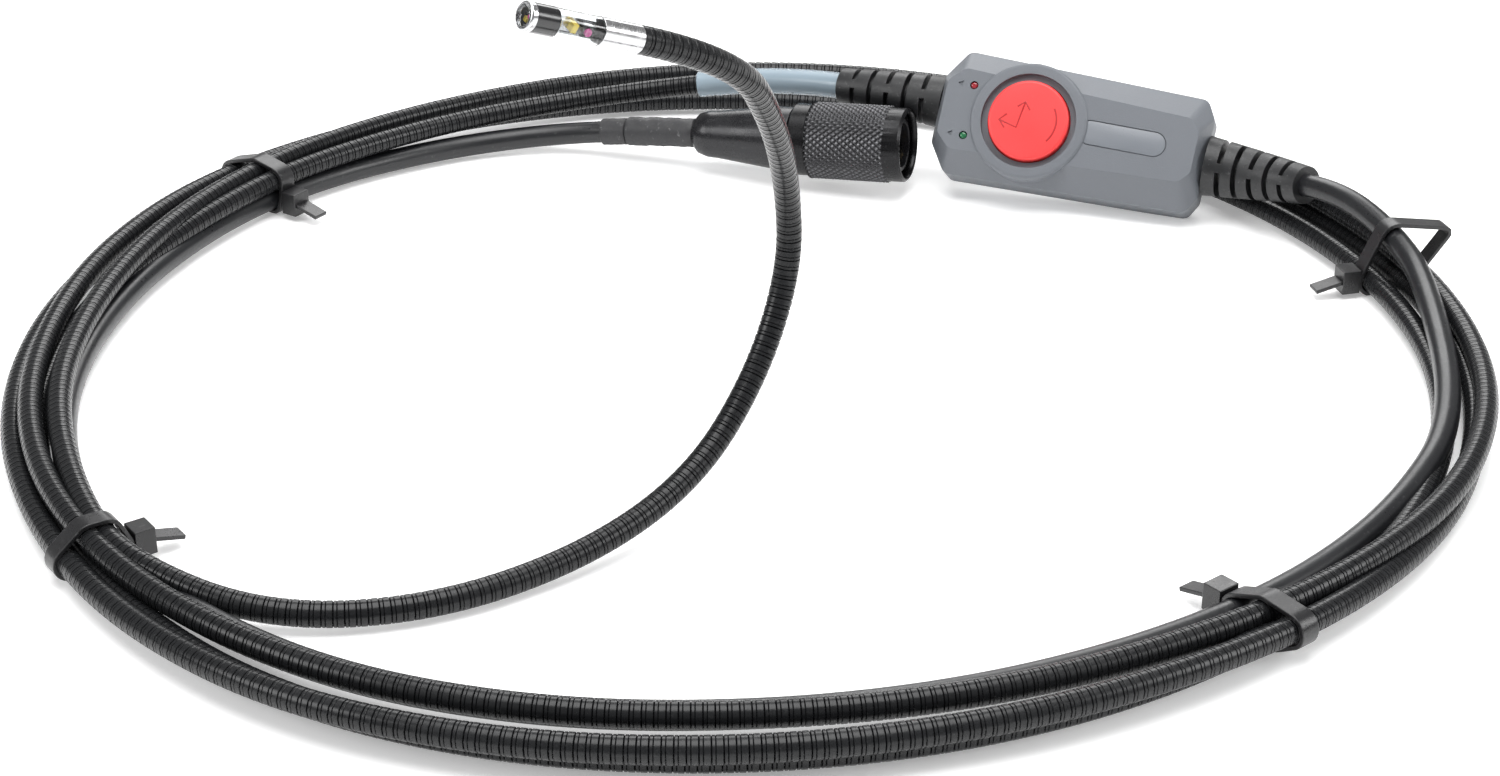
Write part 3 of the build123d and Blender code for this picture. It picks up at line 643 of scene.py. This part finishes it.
class Route:
    """A cord's smooth line, read from a spline with the route's control points."""

    def __init__(self, name: str, points: list[Vector]) -> None:
        """Make the spline and sample its line.

        Args:
            name: name of the route.
            points: control points in metres.
        """
        self.name = name
        self.controls = points
        self.line = self.sample()
        steps = np.linalg.norm(np.diff(self.line, axis=0), axis=1)
        self.reach = np.concatenate([[0.0], np.cumsum(steps)])
        self.length = float(self.reach[-1])
        self.ahead = np.gradient(self.line, axis=0)
        self.ahead /= np.linalg.norm(self.ahead, axis=1)[:, None]
        self.normals = self.carry_normals()

    def curve(self, resolution: int) -> bpy.types.Curve:
        """The spline itself, through no point but its ends."""
        curve = bpy.data.curves.new(self.name, "CURVE")
        curve.dimensions = "3D"
        curve.resolution_u = resolution
        spline = curve.splines.new("NURBS")
        spline.points.add(len(self.controls) - 1)
        for point, at in zip(spline.points, self.controls):
            point.co = (*at, 1.0)
        spline.order_u = 3
        spline.use_endpoint_u = True
        return curve

    def sample(self) -> np.ndarray:
        """Points along the line, as the mesh of the bare curve gives them."""
        bare = as_mesh(bpy.data.objects.new(self.name, self.curve(24)))
        line = np.array([vert.co for vert in bare.data.vertices], float)
        bpy.data.objects.remove(bare)
        return line

    def carry_normals(self) -> np.ndarray:
        """A side direction at each point, carried along without twisting."""
        side = np.cross(self.ahead[0], (0, 0, 1.0))
        made = [side / np.linalg.norm(side)]
        for tangent in self.ahead[1:]:
            side = made[-1] - tangent * np.dot(made[-1], tangent)
            made.append(side / np.linalg.norm(side))
        return np.array(made)

    def at(self, reach: np.ndarray) -> tuple[np.ndarray, np.ndarray, np.ndarray]:
        """Place, side and cross direction at these distances along the line."""
        pick = [np.stack([np.interp(reach, self.reach, table[:, k]) for k in range(3)], 1)
                for table in (self.line, self.normals, self.ahead)]
        place, side, ahead = pick
        ahead /= np.linalg.norm(ahead, axis=1)[:, None]
        side -= ahead * np.sum(side * ahead, axis=1)[:, None]
        side /= np.linalg.norm(side, axis=1)[:, None]
        return place, side, np.cross(ahead, side)

    def bend(self, mesh: bpy.types.Mesh, start: float = 0.0) -> None:
        """Bend a straight mesh, modelled along its own z, onto the line.

        Args:
            mesh: the mesh to bend; its z is the distance along the route.
            start: distance at which the mesh's z of 0 lies.
        """
        count = len(mesh.vertices)
        flat = np.empty(count * 3, np.float32)
        mesh.vertices.foreach_get("co", flat)
        co = flat.reshape(-1, 3).astype(float)
        place, side, cross = self.at(co[:, 2] + start)
        bent = place + side * co[:, :1] + cross * co[:, 1:2]
        mesh.vertices.foreach_set("co", bent.astype(np.float32).ravel())
        mesh.update()

    def path(self, start: float, end: float, step: float = 0.004) -> list[tuple[float, float, float]]:
        """Points between two distances along the line."""
        count = max(8, int((end - start) / step))
        return [tuple(p) for p in self.at(np.linspace(start, end, count))[0]]


# ---------------------------------------------------------------------------------------
# Turned shapes and tubes
# ---------------------------------------------------------------------------------------
def turned(profile: list[tuple[float, float]], steps: int, closed: bool = True) -> bmesh.types.BMesh:
    """Spin a profile once about the local z axis.

    Args:
        profile: radius and height of each corner, in millimetres.
        steps: number of facets round the axis.
        closed: whether the last corner joins the first one.

    Returns:
        The turned shape, in metres.
    """
    bm = bmesh.new()
    corners = [bm.verts.new(mm(r, 0, z)) for r, z in profile]
    edges = [bm.edges.new(pair) for pair in zip(corners, corners[1:])]
    if closed:
        edges.append(bm.edges.new((corners[-1], corners[0])))
    bmesh.ops.spin(bm, geom=corners + edges, axis=(0, 0, 1), cent=(0, 0, 0), angle=TAU, steps=steps,
                   use_merge=True)
    bmesh.ops.remove_doubles(bm, verts=bm.verts[:], dist=1e-6)
    return bm


def tube_profile(outer: float, inner: float, length: float,
                 step: float = 1.5) -> list[tuple[float, float]]:
    """Profile of an open tube with rounded ends, divided so that it can be bent.

    Args:
        outer: outer radius in millimetres.
        inner: inner radius in millimetres.
        length: length in millimetres.
        step: distance between rings in millimetres.

    Returns:
        The closed profile as radius and height.
    """
    count = max(2, round(length / step))
    rows = [length * i / count for i in range(1, count)]
    lip = min(0.25, 0.4 * (outer - inner))
    outside = [(outer - lip, 0.0), (outer, lip)] + [(outer, z) for z in rows]
    inside = [(outer, length - lip), (outer - lip, length), (inner, length)]
    inside += [(inner, z) for z in reversed(rows)]
    return outside + inside + [(inner, 0.0)]


# ---------------------------------------------------------------------------------------
# Hose and cable
# ---------------------------------------------------------------------------------------
HOSE_TIP = mm(23.592, 121.653, 21.418)
HOSE_OUT = Vector((-0.8729, 0.4847, -0.0555))
CABLE_TIP = mm(138.618, 66.918, 15.776)
CABLE_OUT = Vector((0.5551, -0.8113, 0.1835))
MOUTH = mm(40.05, 98.4, 13.75)
CONNECTOR_OUT = heading(-18.5, 3.9)
HEAD_FOOT = mm(-21.8, -107.1, 117.8)
HEAD_OUT = Vector((-0.746, -0.553, 0.369)).normalized()


@dataclass
class RibbedHose:
    """The armoured insertion hose: just over three turns of coil, then the end with the head."""

    radius: float = 2.75
    pitch: float = 2.2
    split: float = 0.312
    coil_length: float = field(init=False, default=0.0)
    coil: Lane = field(default_factory=lambda: Lane(150, 30, (
        (151.5, 9.0), (160.8, 4.2), (165.3, 3.75), (171.5, 3.75), (166.8, 3.75), (160.9, 3.75),
        (157.0, 3.75), (155.2, 3.75), (153.5, 3.75), (152.5, 3.75),
        (156.5, 3.75), (162.5, 3.75), (168.0, 3.75), (168.0, 3.75), (169.0, 4.2), (175.5, 7.0),
        (170.0, 7.8), (164.0, 7.2), (163.3, 3.9), (162.5, 3.75), (161.0, 3.75), (161.5, 3.75),
        (165.5, 3.75), (163.5, 6.0), (166.0, 8.0), (163.0, 8.4), (165.4, 8.5), (164.8, 7.0),
        (157.5, 6.9), (154.1, 5.8), (163.8, 9.2), (164.0, 8.0), (161.5, 8.6), (162.5, 9.2),
        (165.5, 9.25), (161.0, 9.25), (156.5, 10.5), (155.5, 9.25), (160.5, 9.2))))

    def route(self) -> Route:
        """The hose's line from the box to the head."""
        lead = [HOSE_TIP, HOSE_TIP + HOSE_OUT * 22 * MM, mm(-40, 138.5, 12.6), mm(-80, 127.5, 9.6),
                mm(-113, 101, 9.4)]
        free = [mm(-138, -86, 8.5), mm(-123, -107, 7.5), mm(-95, -120.5, 4.2), mm(-63, -115.5, 3.2),
                mm(-34, -95, 3.5), mm(-13, -74, 9.5), mm(0, -57, 25), mm(7, -46, 44.8),
                mm(6.3, -48.5, 64.8), mm(3, -71, 88), HEAD_FOOT - HEAD_OUT * 24 * MM, HEAD_FOOT]
        return Route("hose route", lead + self.coil.points()[:-1] + free)

    def link(self, segments: int) -> bpy.types.Object:
        """One armour ring: a hollow and two crests, modelled along z, with a vertex mask that paints shade
        into the hollows.
        """
        bm = bmesh.new()
        crest_unshaded = bm.verts.layers.float.new("crest_unshaded")
        # third value of each ring: how little painted shade it gets, 0 at the deepest part, 0.35 at the
        # dip, up to 1 on the crests
        rings = ((0.0, 2.42, 0.0), (0.08, 2.72, 0.9), (0.30, 2.72, 0.9), (0.36, 2.55, 0.35),
                 (0.42, 2.74, 1.0), (0.93, 2.75, 1.0), (1.0, 2.42, 0.0))
        made = bmesh.ops.create_circle(bm, segments=segments, radius=rings[0][1] * MM)
        ring = made["verts"]
        edges = bm.edges[:]
        for before, (part, radius, height) in zip(rings, rings[1:]):
            grown = bmesh.ops.extrude_edge_only(bm, edges=edges)["geom"]
            ring = [item for item in grown if isinstance(item, bmesh.types.BMVert)]
            edges = [item for item in grown if isinstance(item, bmesh.types.BMEdge)]
            size = radius / before[1]
            bmesh.ops.scale(bm, verts=ring, vec=(size, size, 1))
            bmesh.ops.translate(bm, verts=ring, vec=(0, 0, (part - before[0]) * self.pitch * MM))
            for vert in ring:
                vert[crest_unshaded] = height
        return finish_mesh("hose link", bm, smooth=50)

    def stretch(self, name: str, route: Route, start: float, end: float, segments: int) -> bpy.types.Object:
        """A stretch of hose: one link repeated, then bent onto the route.

        Args:
            name: name of the piece.
            route: the line it follows.
            start: distance along the route at which it starts, in metres.
            end: distance at which it ends.
            segments: facets round the hose.

        Returns:
            The hose stretch.
        """
        count = round((end - start) / (self.pitch * MM))
        link = self.link(segments)
        row = link.modifiers.new("row of links", "ARRAY")
        row.count = count
        row.use_relative_offset = False
        row.use_constant_offset = True
        row.constant_offset_displace = (0, 0, self.pitch * MM)
        row.use_merge_vertices = True
        row.merge_threshold = 1e-5
        bpy.context.view_layer.update()
        mesh = bpy.data.meshes.new_from_object(link.evaluated_get(bpy.context.evaluated_depsgraph_get()))
        bpy.data.objects.remove(link)
        bm = bmesh.new()
        bm.from_mesh(mesh)
        bmesh.ops.scale(bm, verts=bm.verts[:], vec=(1, 1, (end - start) / (count * self.pitch * MM)))
        rims = [edge for edge in bm.edges if edge.is_boundary]
        bmesh.ops.holes_fill(bm, edges=rims, sides=0)
        bmesh.ops.recalc_face_normals(bm, faces=bm.faces[:])
        bm.to_mesh(mesh)
        bm.free()
        mesh.name = name
        route.bend(mesh, start)
        return show(name, mesh)

    def build(self) -> tuple[Route, bpy.types.Object, bpy.types.Object]:
        """Make both stretches and dress them.

        Returns:
            The route, the coiled stretch and the free end.
        """
        route = self.route()
        part = route.length - self.split
        coil = dress(self.stretch("coiled_hose", route, 0.0, part, 10), Look.HOSE)
        free = dress(self.stretch("free_hose_end", route, part, route.length, 20), Look.HOSE)
        for piece in (coil, free):
            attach(piece, Body.PROBE.value)
        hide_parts("tied_coil", "hose_lead")
        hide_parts("hose_free_end")
        self.coil_length = part
        return route, coil, free

    def declare(self, route: Route, coil: bpy.types.Object, free: bpy.types.Object,
                head: list[bpy.types.Object], sleeve: bpy.types.Object) -> None:
        """Compute the points along each stretch; nothing is kept.

        Args:
            route: the hose's line.
            coil: the coiled stretch; not used.
            free: the stretch with the head; not used.
            head: the pieces of the head; not used.
            sleeve: the clear sleeve at the box; not used.
        """
        route.path(0, self.coil_length)
        line = route.path(self.coil_length, route.length)


@dataclass
class SmoothCable:
    """The smooth cable from the box, most of the way round inside the coil, to the connector."""

    radius: float = 2.9
    inner_lane: Lane = field(default_factory=lambda: Lane(-30, -30, (
        (153.0, 4.2), (149.3, 3.9), (152.8, 3.9), (160.8, 3.9), (159.7, 3.9), (155.0, 3.9), (153.0, 3.9))))
    tail_start: float = 54.6
    tail_turn: float = 71.1

    def route(self) -> Route:
        """The cable's line from the box to the connector."""
        lead = [CABLE_TIP, CABLE_TIP + CABLE_OUT * 12 * MM, mm(154.5, 40.5, 14.8), mm(159.5, 21, 10.5),
                mm(153.5, -41.1, 6.6)]
        tail = [mm(-114, 101, 3.6), mm(-93, 116.5, 3.5), mm(-72, 126.5, 3.6), mm(-50, 128.5, 5.3),
                MOUTH - CONNECTOR_OUT * self.tail_turn * MM, MOUTH - CONNECTOR_OUT * self.tail_start * MM]
        return Route("cable route", lead + self.inner_lane.points() + tail)

    def build(self) -> tuple[Route, bpy.types.Object]:
        """Make the cable and dress it.

        Returns:
            The route and the cable.
        """
        route = self.route()
        rows = round(route.length / MM / 2)
        profile = [(0.0, 0.0)] + [(self.radius, route.length / MM * i / rows) for i in range(rows + 1)]
        bm = turned(profile + [(0.0, route.length / MM)], 24, closed=False)
        cable = finish_mesh("connector_cable", bm, smooth=60)
        route.bend(cable.data)
        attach(cable, Body.PROBE.value)
        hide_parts("cable_lead", "cable_tail")
        return route, dress(cable, Look.CABLE)

    def declare(self, route: Route, cable: bpy.types.Object, on_it: list[bpy.types.Object]) -> None:
        """Compute the points along the cable's whole length; nothing is kept."""
        route.path(0, route.length)


@dataclass
class Sleeves:
    """The clear sleeve on the hose and the two shrunk sleeves on the cable."""

    clear_outer: float = 3.45
    clear_inner: float = 2.8
    clear_length: float = 41.5

    def on_route(self, name: str, node: str, route: Route, start: float, size: tuple[float, float, float],
                 swell: float) -> bpy.types.Object:
        """A tube that follows a route.

        Args:
            name: name of the piece.
            node: CAD node that it stands for.
            route: the cord it is on.
            start: distance along the route, in metres.
            size: outer radius, inner radius and length in millimetres.
            swell: how far the outside waves in and out, in millimetres.

        Returns:
            The sleeve.
        """
        bm = turned(tube_profile(*size, step=1.0), 36)
        for vert in bm.verts:
            wave = math.sin(vert.co.z / MM * 1.7) * math.sin(vert.co.z / MM * 0.6 + vert.co.x / MM)
            if vert.co.xy.length > (size[0] - 0.3) * MM:
                vert.co.xy *= 1 - swell * (0.5 + 0.5 * wave) / size[0]
        piece = finish_mesh(name, bm)
        route.bend(piece.data, start)
        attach(piece, Body.PROBE.value)
        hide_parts(node)
        return piece

    def build(self, hose: Route, cable: Route) -> tuple[bpy.types.Object, list[bpy.types.Object]]:
        """Make and dress the three sleeves.

        Args:
            hose: the hose's line.
            cable: the cable's line.

        Returns:
            The clear sleeve, and the two shrunk sleeves.
        """
        clear = self.on_route("clear_hose_sleeve", "clear_sleeve", hose, 0.3 * MM,
                              (self.clear_outer, self.clear_inner, self.clear_length), 0.0)
        dress(clear, Look.SLEEVE)
        first = self.on_route("shrunk_sleeve_connector", "heat_shrink_connector", cable,
                              cable.length - 24.0 * MM, (4.0, 2.95, 19.3), 0.25)
        second = self.on_route("shrunk_sleeve_cable", "heat_shrink_cable", cable,
                               cable.length - 31.6 * MM, (3.65, 2.95, 7.4), 0.12)
        for piece in (first, second):
            dress(piece, Look.SHRINK)
        return clear, [first, second]


# ---------------------------------------------------------------------------------------
# Control box
# ---------------------------------------------------------------------------------------
@dataclass
class ControlBox:
    """The tilted box with its button, lamps, badge and two boots."""

    at: Vector = field(default_factory=lambda: mm(83, 95.4, 17.5))
    yaw: float = -18.2
    pitch: float = -4.0
    lean: float = 33.1
    face_z: float = 9.5
    button_x: float = -11.0
    button_top: float = 10.9
    badge_x: float = 13.6

    def placing(self) -> Matrix:
        """The box's own axes: x along it, z out of its face."""
        along = heading(self.yaw, self.pitch)
        level = along.cross(Vector((0, 0, 1))).normalized()
        lean = math.radians(self.lean)
        face = level * math.cos(lean) + level.cross(along) * math.sin(lean)
        return axes(self.at, face, along)

    def build(self) -> None:
        """Make and dress every piece of the box."""
        for node, name, finish, slot, width in (
                ("upper_shell", "box_top_shell", Look.BOX, Slot.BOX, 0.35),
                ("lower_shell", "box_back_shell", Look.BOX, Slot.BOX, 0.35),
                ("button_cap", "press_button", Look.BUTTON, Slot.BUTTON, 0.3),
                ("strain_relief_left", "hose_boot", Look.BOOT, Slot.BOOT, 0.22),
                ("strain_relief_right", "cable_boot", Look.BOOT, Slot.BOOT, 0.22),
                ("shell_screws", "box_screws", Look.STEEL, Slot.STEEL, 0.08)):
            dress(refined(node, name, width * MM), finish)
        for node, finish in (("switch_body", Look.CHIP), ("switch_plunger", Look.WIRE),
                             ("circuit_board", Look.BOARD), ("board_chips", Look.CHIP),
                             ("red_lamp", Look.RED_LAMP), ("green_lamp", Look.GREEN_LAMP),
                             ("board_wires", Look.WIRE)):
            paint(node, finish)
        self.make_mark()
        self.make_badge()

    def make_mark(self) -> None:
        """The plain two-way arrow and the arc moulded on the button."""
        place = self.placing() @ Matrix.Translation(mm(self.button_x, 0, self.button_top))
        corner, left, up = (-2.6, -2.4), (-7.4, -1.2), (-1.6, 4.6)
        strokes = [(left, corner, up),
                   ((-5.6, -3.0), left, (-5.7, 0.6)),
                   ((-3.4, 3.0), up, (0.0, 2.6)),
                   tuple((7.4 * math.cos(a), 7.4 * math.sin(a)) for a in np.radians(range(-38, 42, 8)))]
        curve = bpy.data.curves.new("button_mark", "CURVE")
        curve.dimensions = "3D"
        curve.bevel_depth = 0.4 * MM
        curve.bevel_resolution = 3
        curve.use_fill_caps = True
        for stroke in strokes:
            spline = curve.splines.new("POLY")
            spline.points.add(len(stroke) - 1)
            for point, (x, y) in zip(spline.points, stroke):
                point.co = (*(place @ mm(x, y, -0.3)), 1.0)
        mark = as_mesh(bpy.data.objects.new("button_mark", curve))
        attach(mark, Body.BUTTON.value)
        dress(mark, Look.BUTTON_MARK)

    def make_badge(self) -> None:
        """A plain oblong plate in the face's recess."""
        bm = bmesh.new()
        radius, half = 3.1 * MM, 8.2 * MM
        bmesh.ops.create_circle(bm, cap_ends=True, segments=48, radius=radius)
        for vert in bm.verts:
            vert.co.x += math.copysign(half, vert.co.x) if abs(vert.co.x) > 1e-7 else half
        grown = bmesh.ops.extrude_face_region(bm, geom=bm.faces[:])["geom"]
        top = [item for item in grown if isinstance(item, bmesh.types.BMVert)]
        bmesh.ops.translate(bm, verts=top, vec=(0, 0, 0.42 * MM))
        rim = [edge for edge in bm.edges if all(vert in top for vert in edge.verts)]
        bmesh.ops.bevel(bm, geom=rim, offset=0.15 * MM, segments=2, profile=0.5, affect="EDGES",
                        material=-1)
        place = self.placing() @ Matrix.Translation(mm(self.badge_x, 0, self.face_z - 0.5))
        bmesh.ops.transform(bm, matrix=place, verts=bm.verts[:])
        badge = finish_mesh("plain_badge", bm)
        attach(badge, Body.PROBE.value)
        dress(badge, Look.BADGE)


def paint(node: str, finish: Finish) -> None:
    """Give a CAD node that is shown as it is its material."""
    target = frame["nodes"][node]
    target.data.materials.clear()
    target.data.materials.append(finish.material())
    LOG.info("%s: %s", node, finish.name)


# ---------------------------------------------------------------------------------------
# Connector
# ---------------------------------------------------------------------------------------
@dataclass
class Connector:
    """The multi-pin connector with its knurled coupling ring."""

    ring_radius: float = 10.2
    nose_radius: float = 9.7
    tail_radius: float = 9.5
    knurl: tuple[float, float] = (4.9, 25.9)
    ring_length: float = 30.8
    bore: float = 8.4
    thread: float = 8.9
    thread_pitch: float = 1.2
    diamonds: int = 40
    knurl_depth: float = 0.5

    def ring_profile(self) -> list[tuple[float, float]]:
        """Closed profile of the coupling ring, from its mouth back."""
        front, back = self.knurl
        rows = [back + (front - back) * i / 84 for i in range(85)]
        outside = [(self.nose_radius - 0.6, 0.0), (self.nose_radius, -0.6), (self.nose_radius, 0.3 - front)]
        outside += [(self.ring_radius, -z) for z in reversed(rows)]
        outside += [(self.tail_radius, -back - 0.4), (self.tail_radius, 0.3 - self.ring_length),
                    (self.tail_radius - 0.3, -self.ring_length)]
        inside = [(self.bore, -self.ring_length), (self.bore, -26.0), (6.88, -26.0), (6.88, -22.0),
                  (self.bore, -22.0)]
        for i in reversed(range(7)):
            at = -1.5 - i * self.thread_pitch
            inside += [(self.bore, at - 0.75), (self.thread, at - 0.4), (self.thread, at - 0.2),
                       (self.bore, at + 0.1)]
        return outside + inside + [(self.bore, -0.6), (self.bore + 0.4, 0.0)]

    def make_ring(self) -> bpy.types.Object:
        """The ring, with diamonds cut across its grip."""
        bm = turned(self.ring_profile(), self.diamonds * 6)
        crest_unshaded = bm.verts.layers.float.new("crest_unshaded")
        front, back = self.knurl
        grade = self.diamonds / (TAU * self.ring_radius)
        for vert in bm.verts:
            depth = -vert.co.z / MM
            radius = vert.co.xy.length / MM
            if front <= depth <= back and radius > self.bore + 1:
                round_it = math.atan2(vert.co.y, vert.co.x) / TAU * self.diamonds
                along = depth * grade * 0.8
                height = min(ridge(round_it + along), ridge(round_it - along))
                vert.co.xy *= 1 - self.knurl_depth * (1 - height) / radius
                # painted shade: the mask follows the knurl height, so the cut valleys get the darker shade
                # colour
                vert[crest_unshaded] = height ** 1.5
        bmesh.ops.transform(bm, matrix=self.placing(), verts=bm.verts[:])
        ring = finish_mesh("knurled_ring", bm, smooth=34)
        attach(ring, Body.COUPLING.value)
        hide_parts("coupling_ring")
        return dress(ring, Look.KNURL)

    def placing(self) -> Matrix:
        """The connector's own axes: z out of its mouth."""
        return axes(MOUTH, CONNECTOR_OUT, Vector((0, 0, 1)))

    def build(self) -> list[bpy.types.Object]:
        """Make and dress every piece of the connector.

        Returns:
            The pieces that hang on the cable.
        """
        ring = self.make_ring()
        barrel, shell = (dress(refined(node, name, edge * MM), Look.BLACK_METAL)
                         for node, name, edge in (("connector_barrel", "inner_barrel", 0.12),
                                                  ("backshell", "cable_clamp_shell", 0.25)))
        for node, finish in (("pin_insert", Look.INSERT), ("contact_pins", Look.GOLD),
                             ("connector_wires", Look.WIRE), ("barrel_seal", Look.BOOT),
                             ("retaining_clip", Look.STEEL)):
            paint(node, finish)
        return [ring, barrel, shell] + [frame["nodes"][n] for n in (
            "pin_insert", "contact_pins", "connector_wires", "barrel_seal", "retaining_clip")]


def ridge(turns: float) -> float:
    """Triangle wave: 1 in the middle of each turn, 0 at its ends."""
    return 1 - abs(2 * (turns - math.floor(turns)) - 1)


# ---------------------------------------------------------------------------------------
# Head
# ---------------------------------------------------------------------------------------
@dataclass
class ProbeHead:
    """The camera head: steel tube, clear window with the side camera, black cap and rim."""

    edge: float = 0.1
    outside: tuple[tuple[str, Finish, Slot], ...] = (
        ("head_tube", Look.HEAD_STEEL, Slot.HEAD_STEEL), ("window_tube", Look.GLASS, Slot.WINDOW),
        ("front_cap", Look.CAP, Slot.BLACK_METAL), ("front_rim", Look.HEAD_STEEL, Slot.HEAD_STEEL),
        ("front_window", Look.GLASS, Slot.WINDOW))

    def build(self) -> list[bpy.types.Object]:
        """Dress every piece of the head.

        Returns:
            The pieces at the end of the hose.
        """
        made = [dress(refined(node, f"{node}_finished", self.edge * MM), finish)
                for node, finish, slot in self.outside]
        for node, finish in (("head_chassis", Look.HEAD_STEEL),
                             ("side_camera", Look.CAP), ("side_lens", Look.LENS),
                             ("side_led", Look.LED), ("front_camera", Look.CAP), ("front_lens", Look.LENS),
                             ("front_leds", Look.LED)):
            paint(node, finish)
            made.append(frame["nodes"][node])
        return made


# ---------------------------------------------------------------------------------------
# Cable ties
# ---------------------------------------------------------------------------------------
@dataclass
class CableTie:
    """A nylon strap pulled round the coil, with its lock block and cut tail."""

    name: str
    angle: float
    slack: tuple[tuple[float, float], ...] = ()
    width: float = 4.6
    thick: float = 1.0
    block: tuple[float, float, float] = (4.6, 5.4, 6.0)
    tail: float = 7.0

    def crossings(self, route: Route) -> list[tuple[float, float]]:
        """Radius and height, in millimetres, where a route passes the tie."""
        turn = Matrix.Rotation(-math.radians(self.angle), 3, "Z")
        line = route.line @ np.array(turn).T
        found = []
        for before, after in zip(line, line[1:]):
            if before[0] > 0.1 and before[1] * after[1] <= 0:
                found.append((before[0] / MM, before[2] / MM))
        return found

    def loop(self, cords: list[tuple[Route, float]]) -> list[tuple[float, float]]:
        """The strap's inner line: pulled tight round every cord that passes.

        Args:
            cords: the routes and their radii in millimetres.

        Returns:
            Evenly spaced points as radius and height in millimetres.
        """
        around = [TAU * i / 32 for i in range(32)]
        cloud = [(r + (size + 0.15) * math.cos(a), z + (size + 0.15) * math.sin(a))
                 for route, size in cords for r, z in self.crossings(route) for a in around]
        cloud += [(r + math.cos(a), z + math.sin(a)) for r, z in self.slack for a in around]
        hull = [cloud[i] for i in convex_hull_2d([Vector(point) for point in cloud])]
        hull = np.array(hull + hull[:1])
        steps = np.linalg.norm(np.diff(hull, axis=0), axis=1)
        reach = np.concatenate([[0.0], np.cumsum(steps)])
        even = np.linspace(0, reach[-1], 72, endpoint=False)
        radii, heights = (np.interp(even, reach, hull[:, k]) for k in (0, 1))
        floor = self.thick + 0.05
        return [(float(r), max(float(z), floor)) for r, z in zip(radii, heights)]

    def build(self, cords: list[tuple[Route, float]]) -> bpy.types.Object:
        """Make the strap, the block and the tail as one piece, and dress it.

        Args:
            cords: the routes and their radii in millimetres.

        Returns:
            The tie.
        """
        loop = self.loop(cords)
        bm = bmesh.new()
        corners = [bm.verts.new(mm(r, -self.width / 2, z)) for r, z in loop]
        edges = [bm.edges.new(pair) for pair in zip(corners, corners[1:] + corners[:1])]
        grown = bmesh.ops.extrude_edge_only(bm, edges=edges)["geom"]
        far = [item for item in grown if isinstance(item, bmesh.types.BMVert)]
        bmesh.ops.translate(bm, verts=far, vec=(0, self.width * MM, 0))
        bmesh.ops.recalc_face_normals(bm, faces=bm.faces[:])
        centre = sum((vert.co for vert in bm.verts), Vector()) / len(bm.verts)
        first = bm.faces[:][0]
        if first.normal.dot(first.calc_center_median() - centre) > 0:
            bmesh.ops.reverse_faces(bm, faces=bm.faces[:])
        bmesh.ops.solidify(bm, geom=bm.faces[:], thickness=self.thick * MM)
        inner = min(r for r, z in loop)
        height = 4.2
        self.slab(bm, self.block, (inner - self.thick - 0.42 * self.block[0], 0, height), 0.0)
        self.slab(bm, (self.tail, self.width - 0.4, 1.0),
                  (inner - self.thick - self.block[0] - 0.4 * self.tail, 0, height - 1.0), -14.0)
        bmesh.ops.rotate(bm, verts=bm.verts[:], cent=(0, 0, 0),
                         matrix=Matrix.Rotation(math.radians(self.angle), 3, "Z"))
        tie = finish_mesh(f"coil_tie_{self.name}", bm, smooth=32)
        soften(tie, 0.22 * MM, 2, 40)
        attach(tie, Body.PROBE.value)
        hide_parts(f"cable_tie_{self.name}")
        return dress(tie, Look.TIE)

    def slab(self, bm: bmesh.types.BMesh, size: tuple[float, float, float], at: tuple[float, float, float],
             droop: float) -> None:
        """Add a flat block.

        Args:
            bm: the mesh it joins.
            size: its sizes in millimetres.
            at: its centre in millimetres.
            droop: how far it points down towards the middle of the coil, in degrees.
        """
        verts = bmesh.ops.create_cube(bm, size=1.0)["verts"]
        bmesh.ops.scale(bm, verts=verts, vec=mm(*size))
        turn = Matrix.Rotation(math.radians(droop), 3, "Y")
        bmesh.ops.rotate(bm, verts=verts, cent=(0, 0, 0), matrix=turn)
        bmesh.ops.translate(bm, verts=verts, vec=mm(*at))


def main() -> None:
    """Build the probe in order and report each piece."""
    logging.basicConfig(level=logging.INFO, format="%(message)s")
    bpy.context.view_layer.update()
    Studio().build()
    hose = RibbedHose()
    hose_route, coil, free = hose.build()
    LOG.info("hose length %.3f m", hose_route.length)
    cable = SmoothCable()
    cable_route, lead = cable.build()
    LOG.info("cable length %.3f m", cable_route.length)
    clear, shrunk = Sleeves().build(hose_route, cable_route)
    ControlBox().build()
    connector = Connector().build()
    head = ProbeHead().build()
    cords = [(hose_route, hose.radius), (cable_route, cable.radius)]
    for tie in (CableTie("a", 14.0, ((172.0, 14.5),)), CableTie("b", 309.0), CableTie("c", 145.0),
                CableTie("d", 215.5)):
        tie.build(cords)
    hose.declare(hose_route, coil, free, head, clear)
    cable.declare(cable_route, lead, connector + shrunk)


if __name__ == "__main__":
    main()
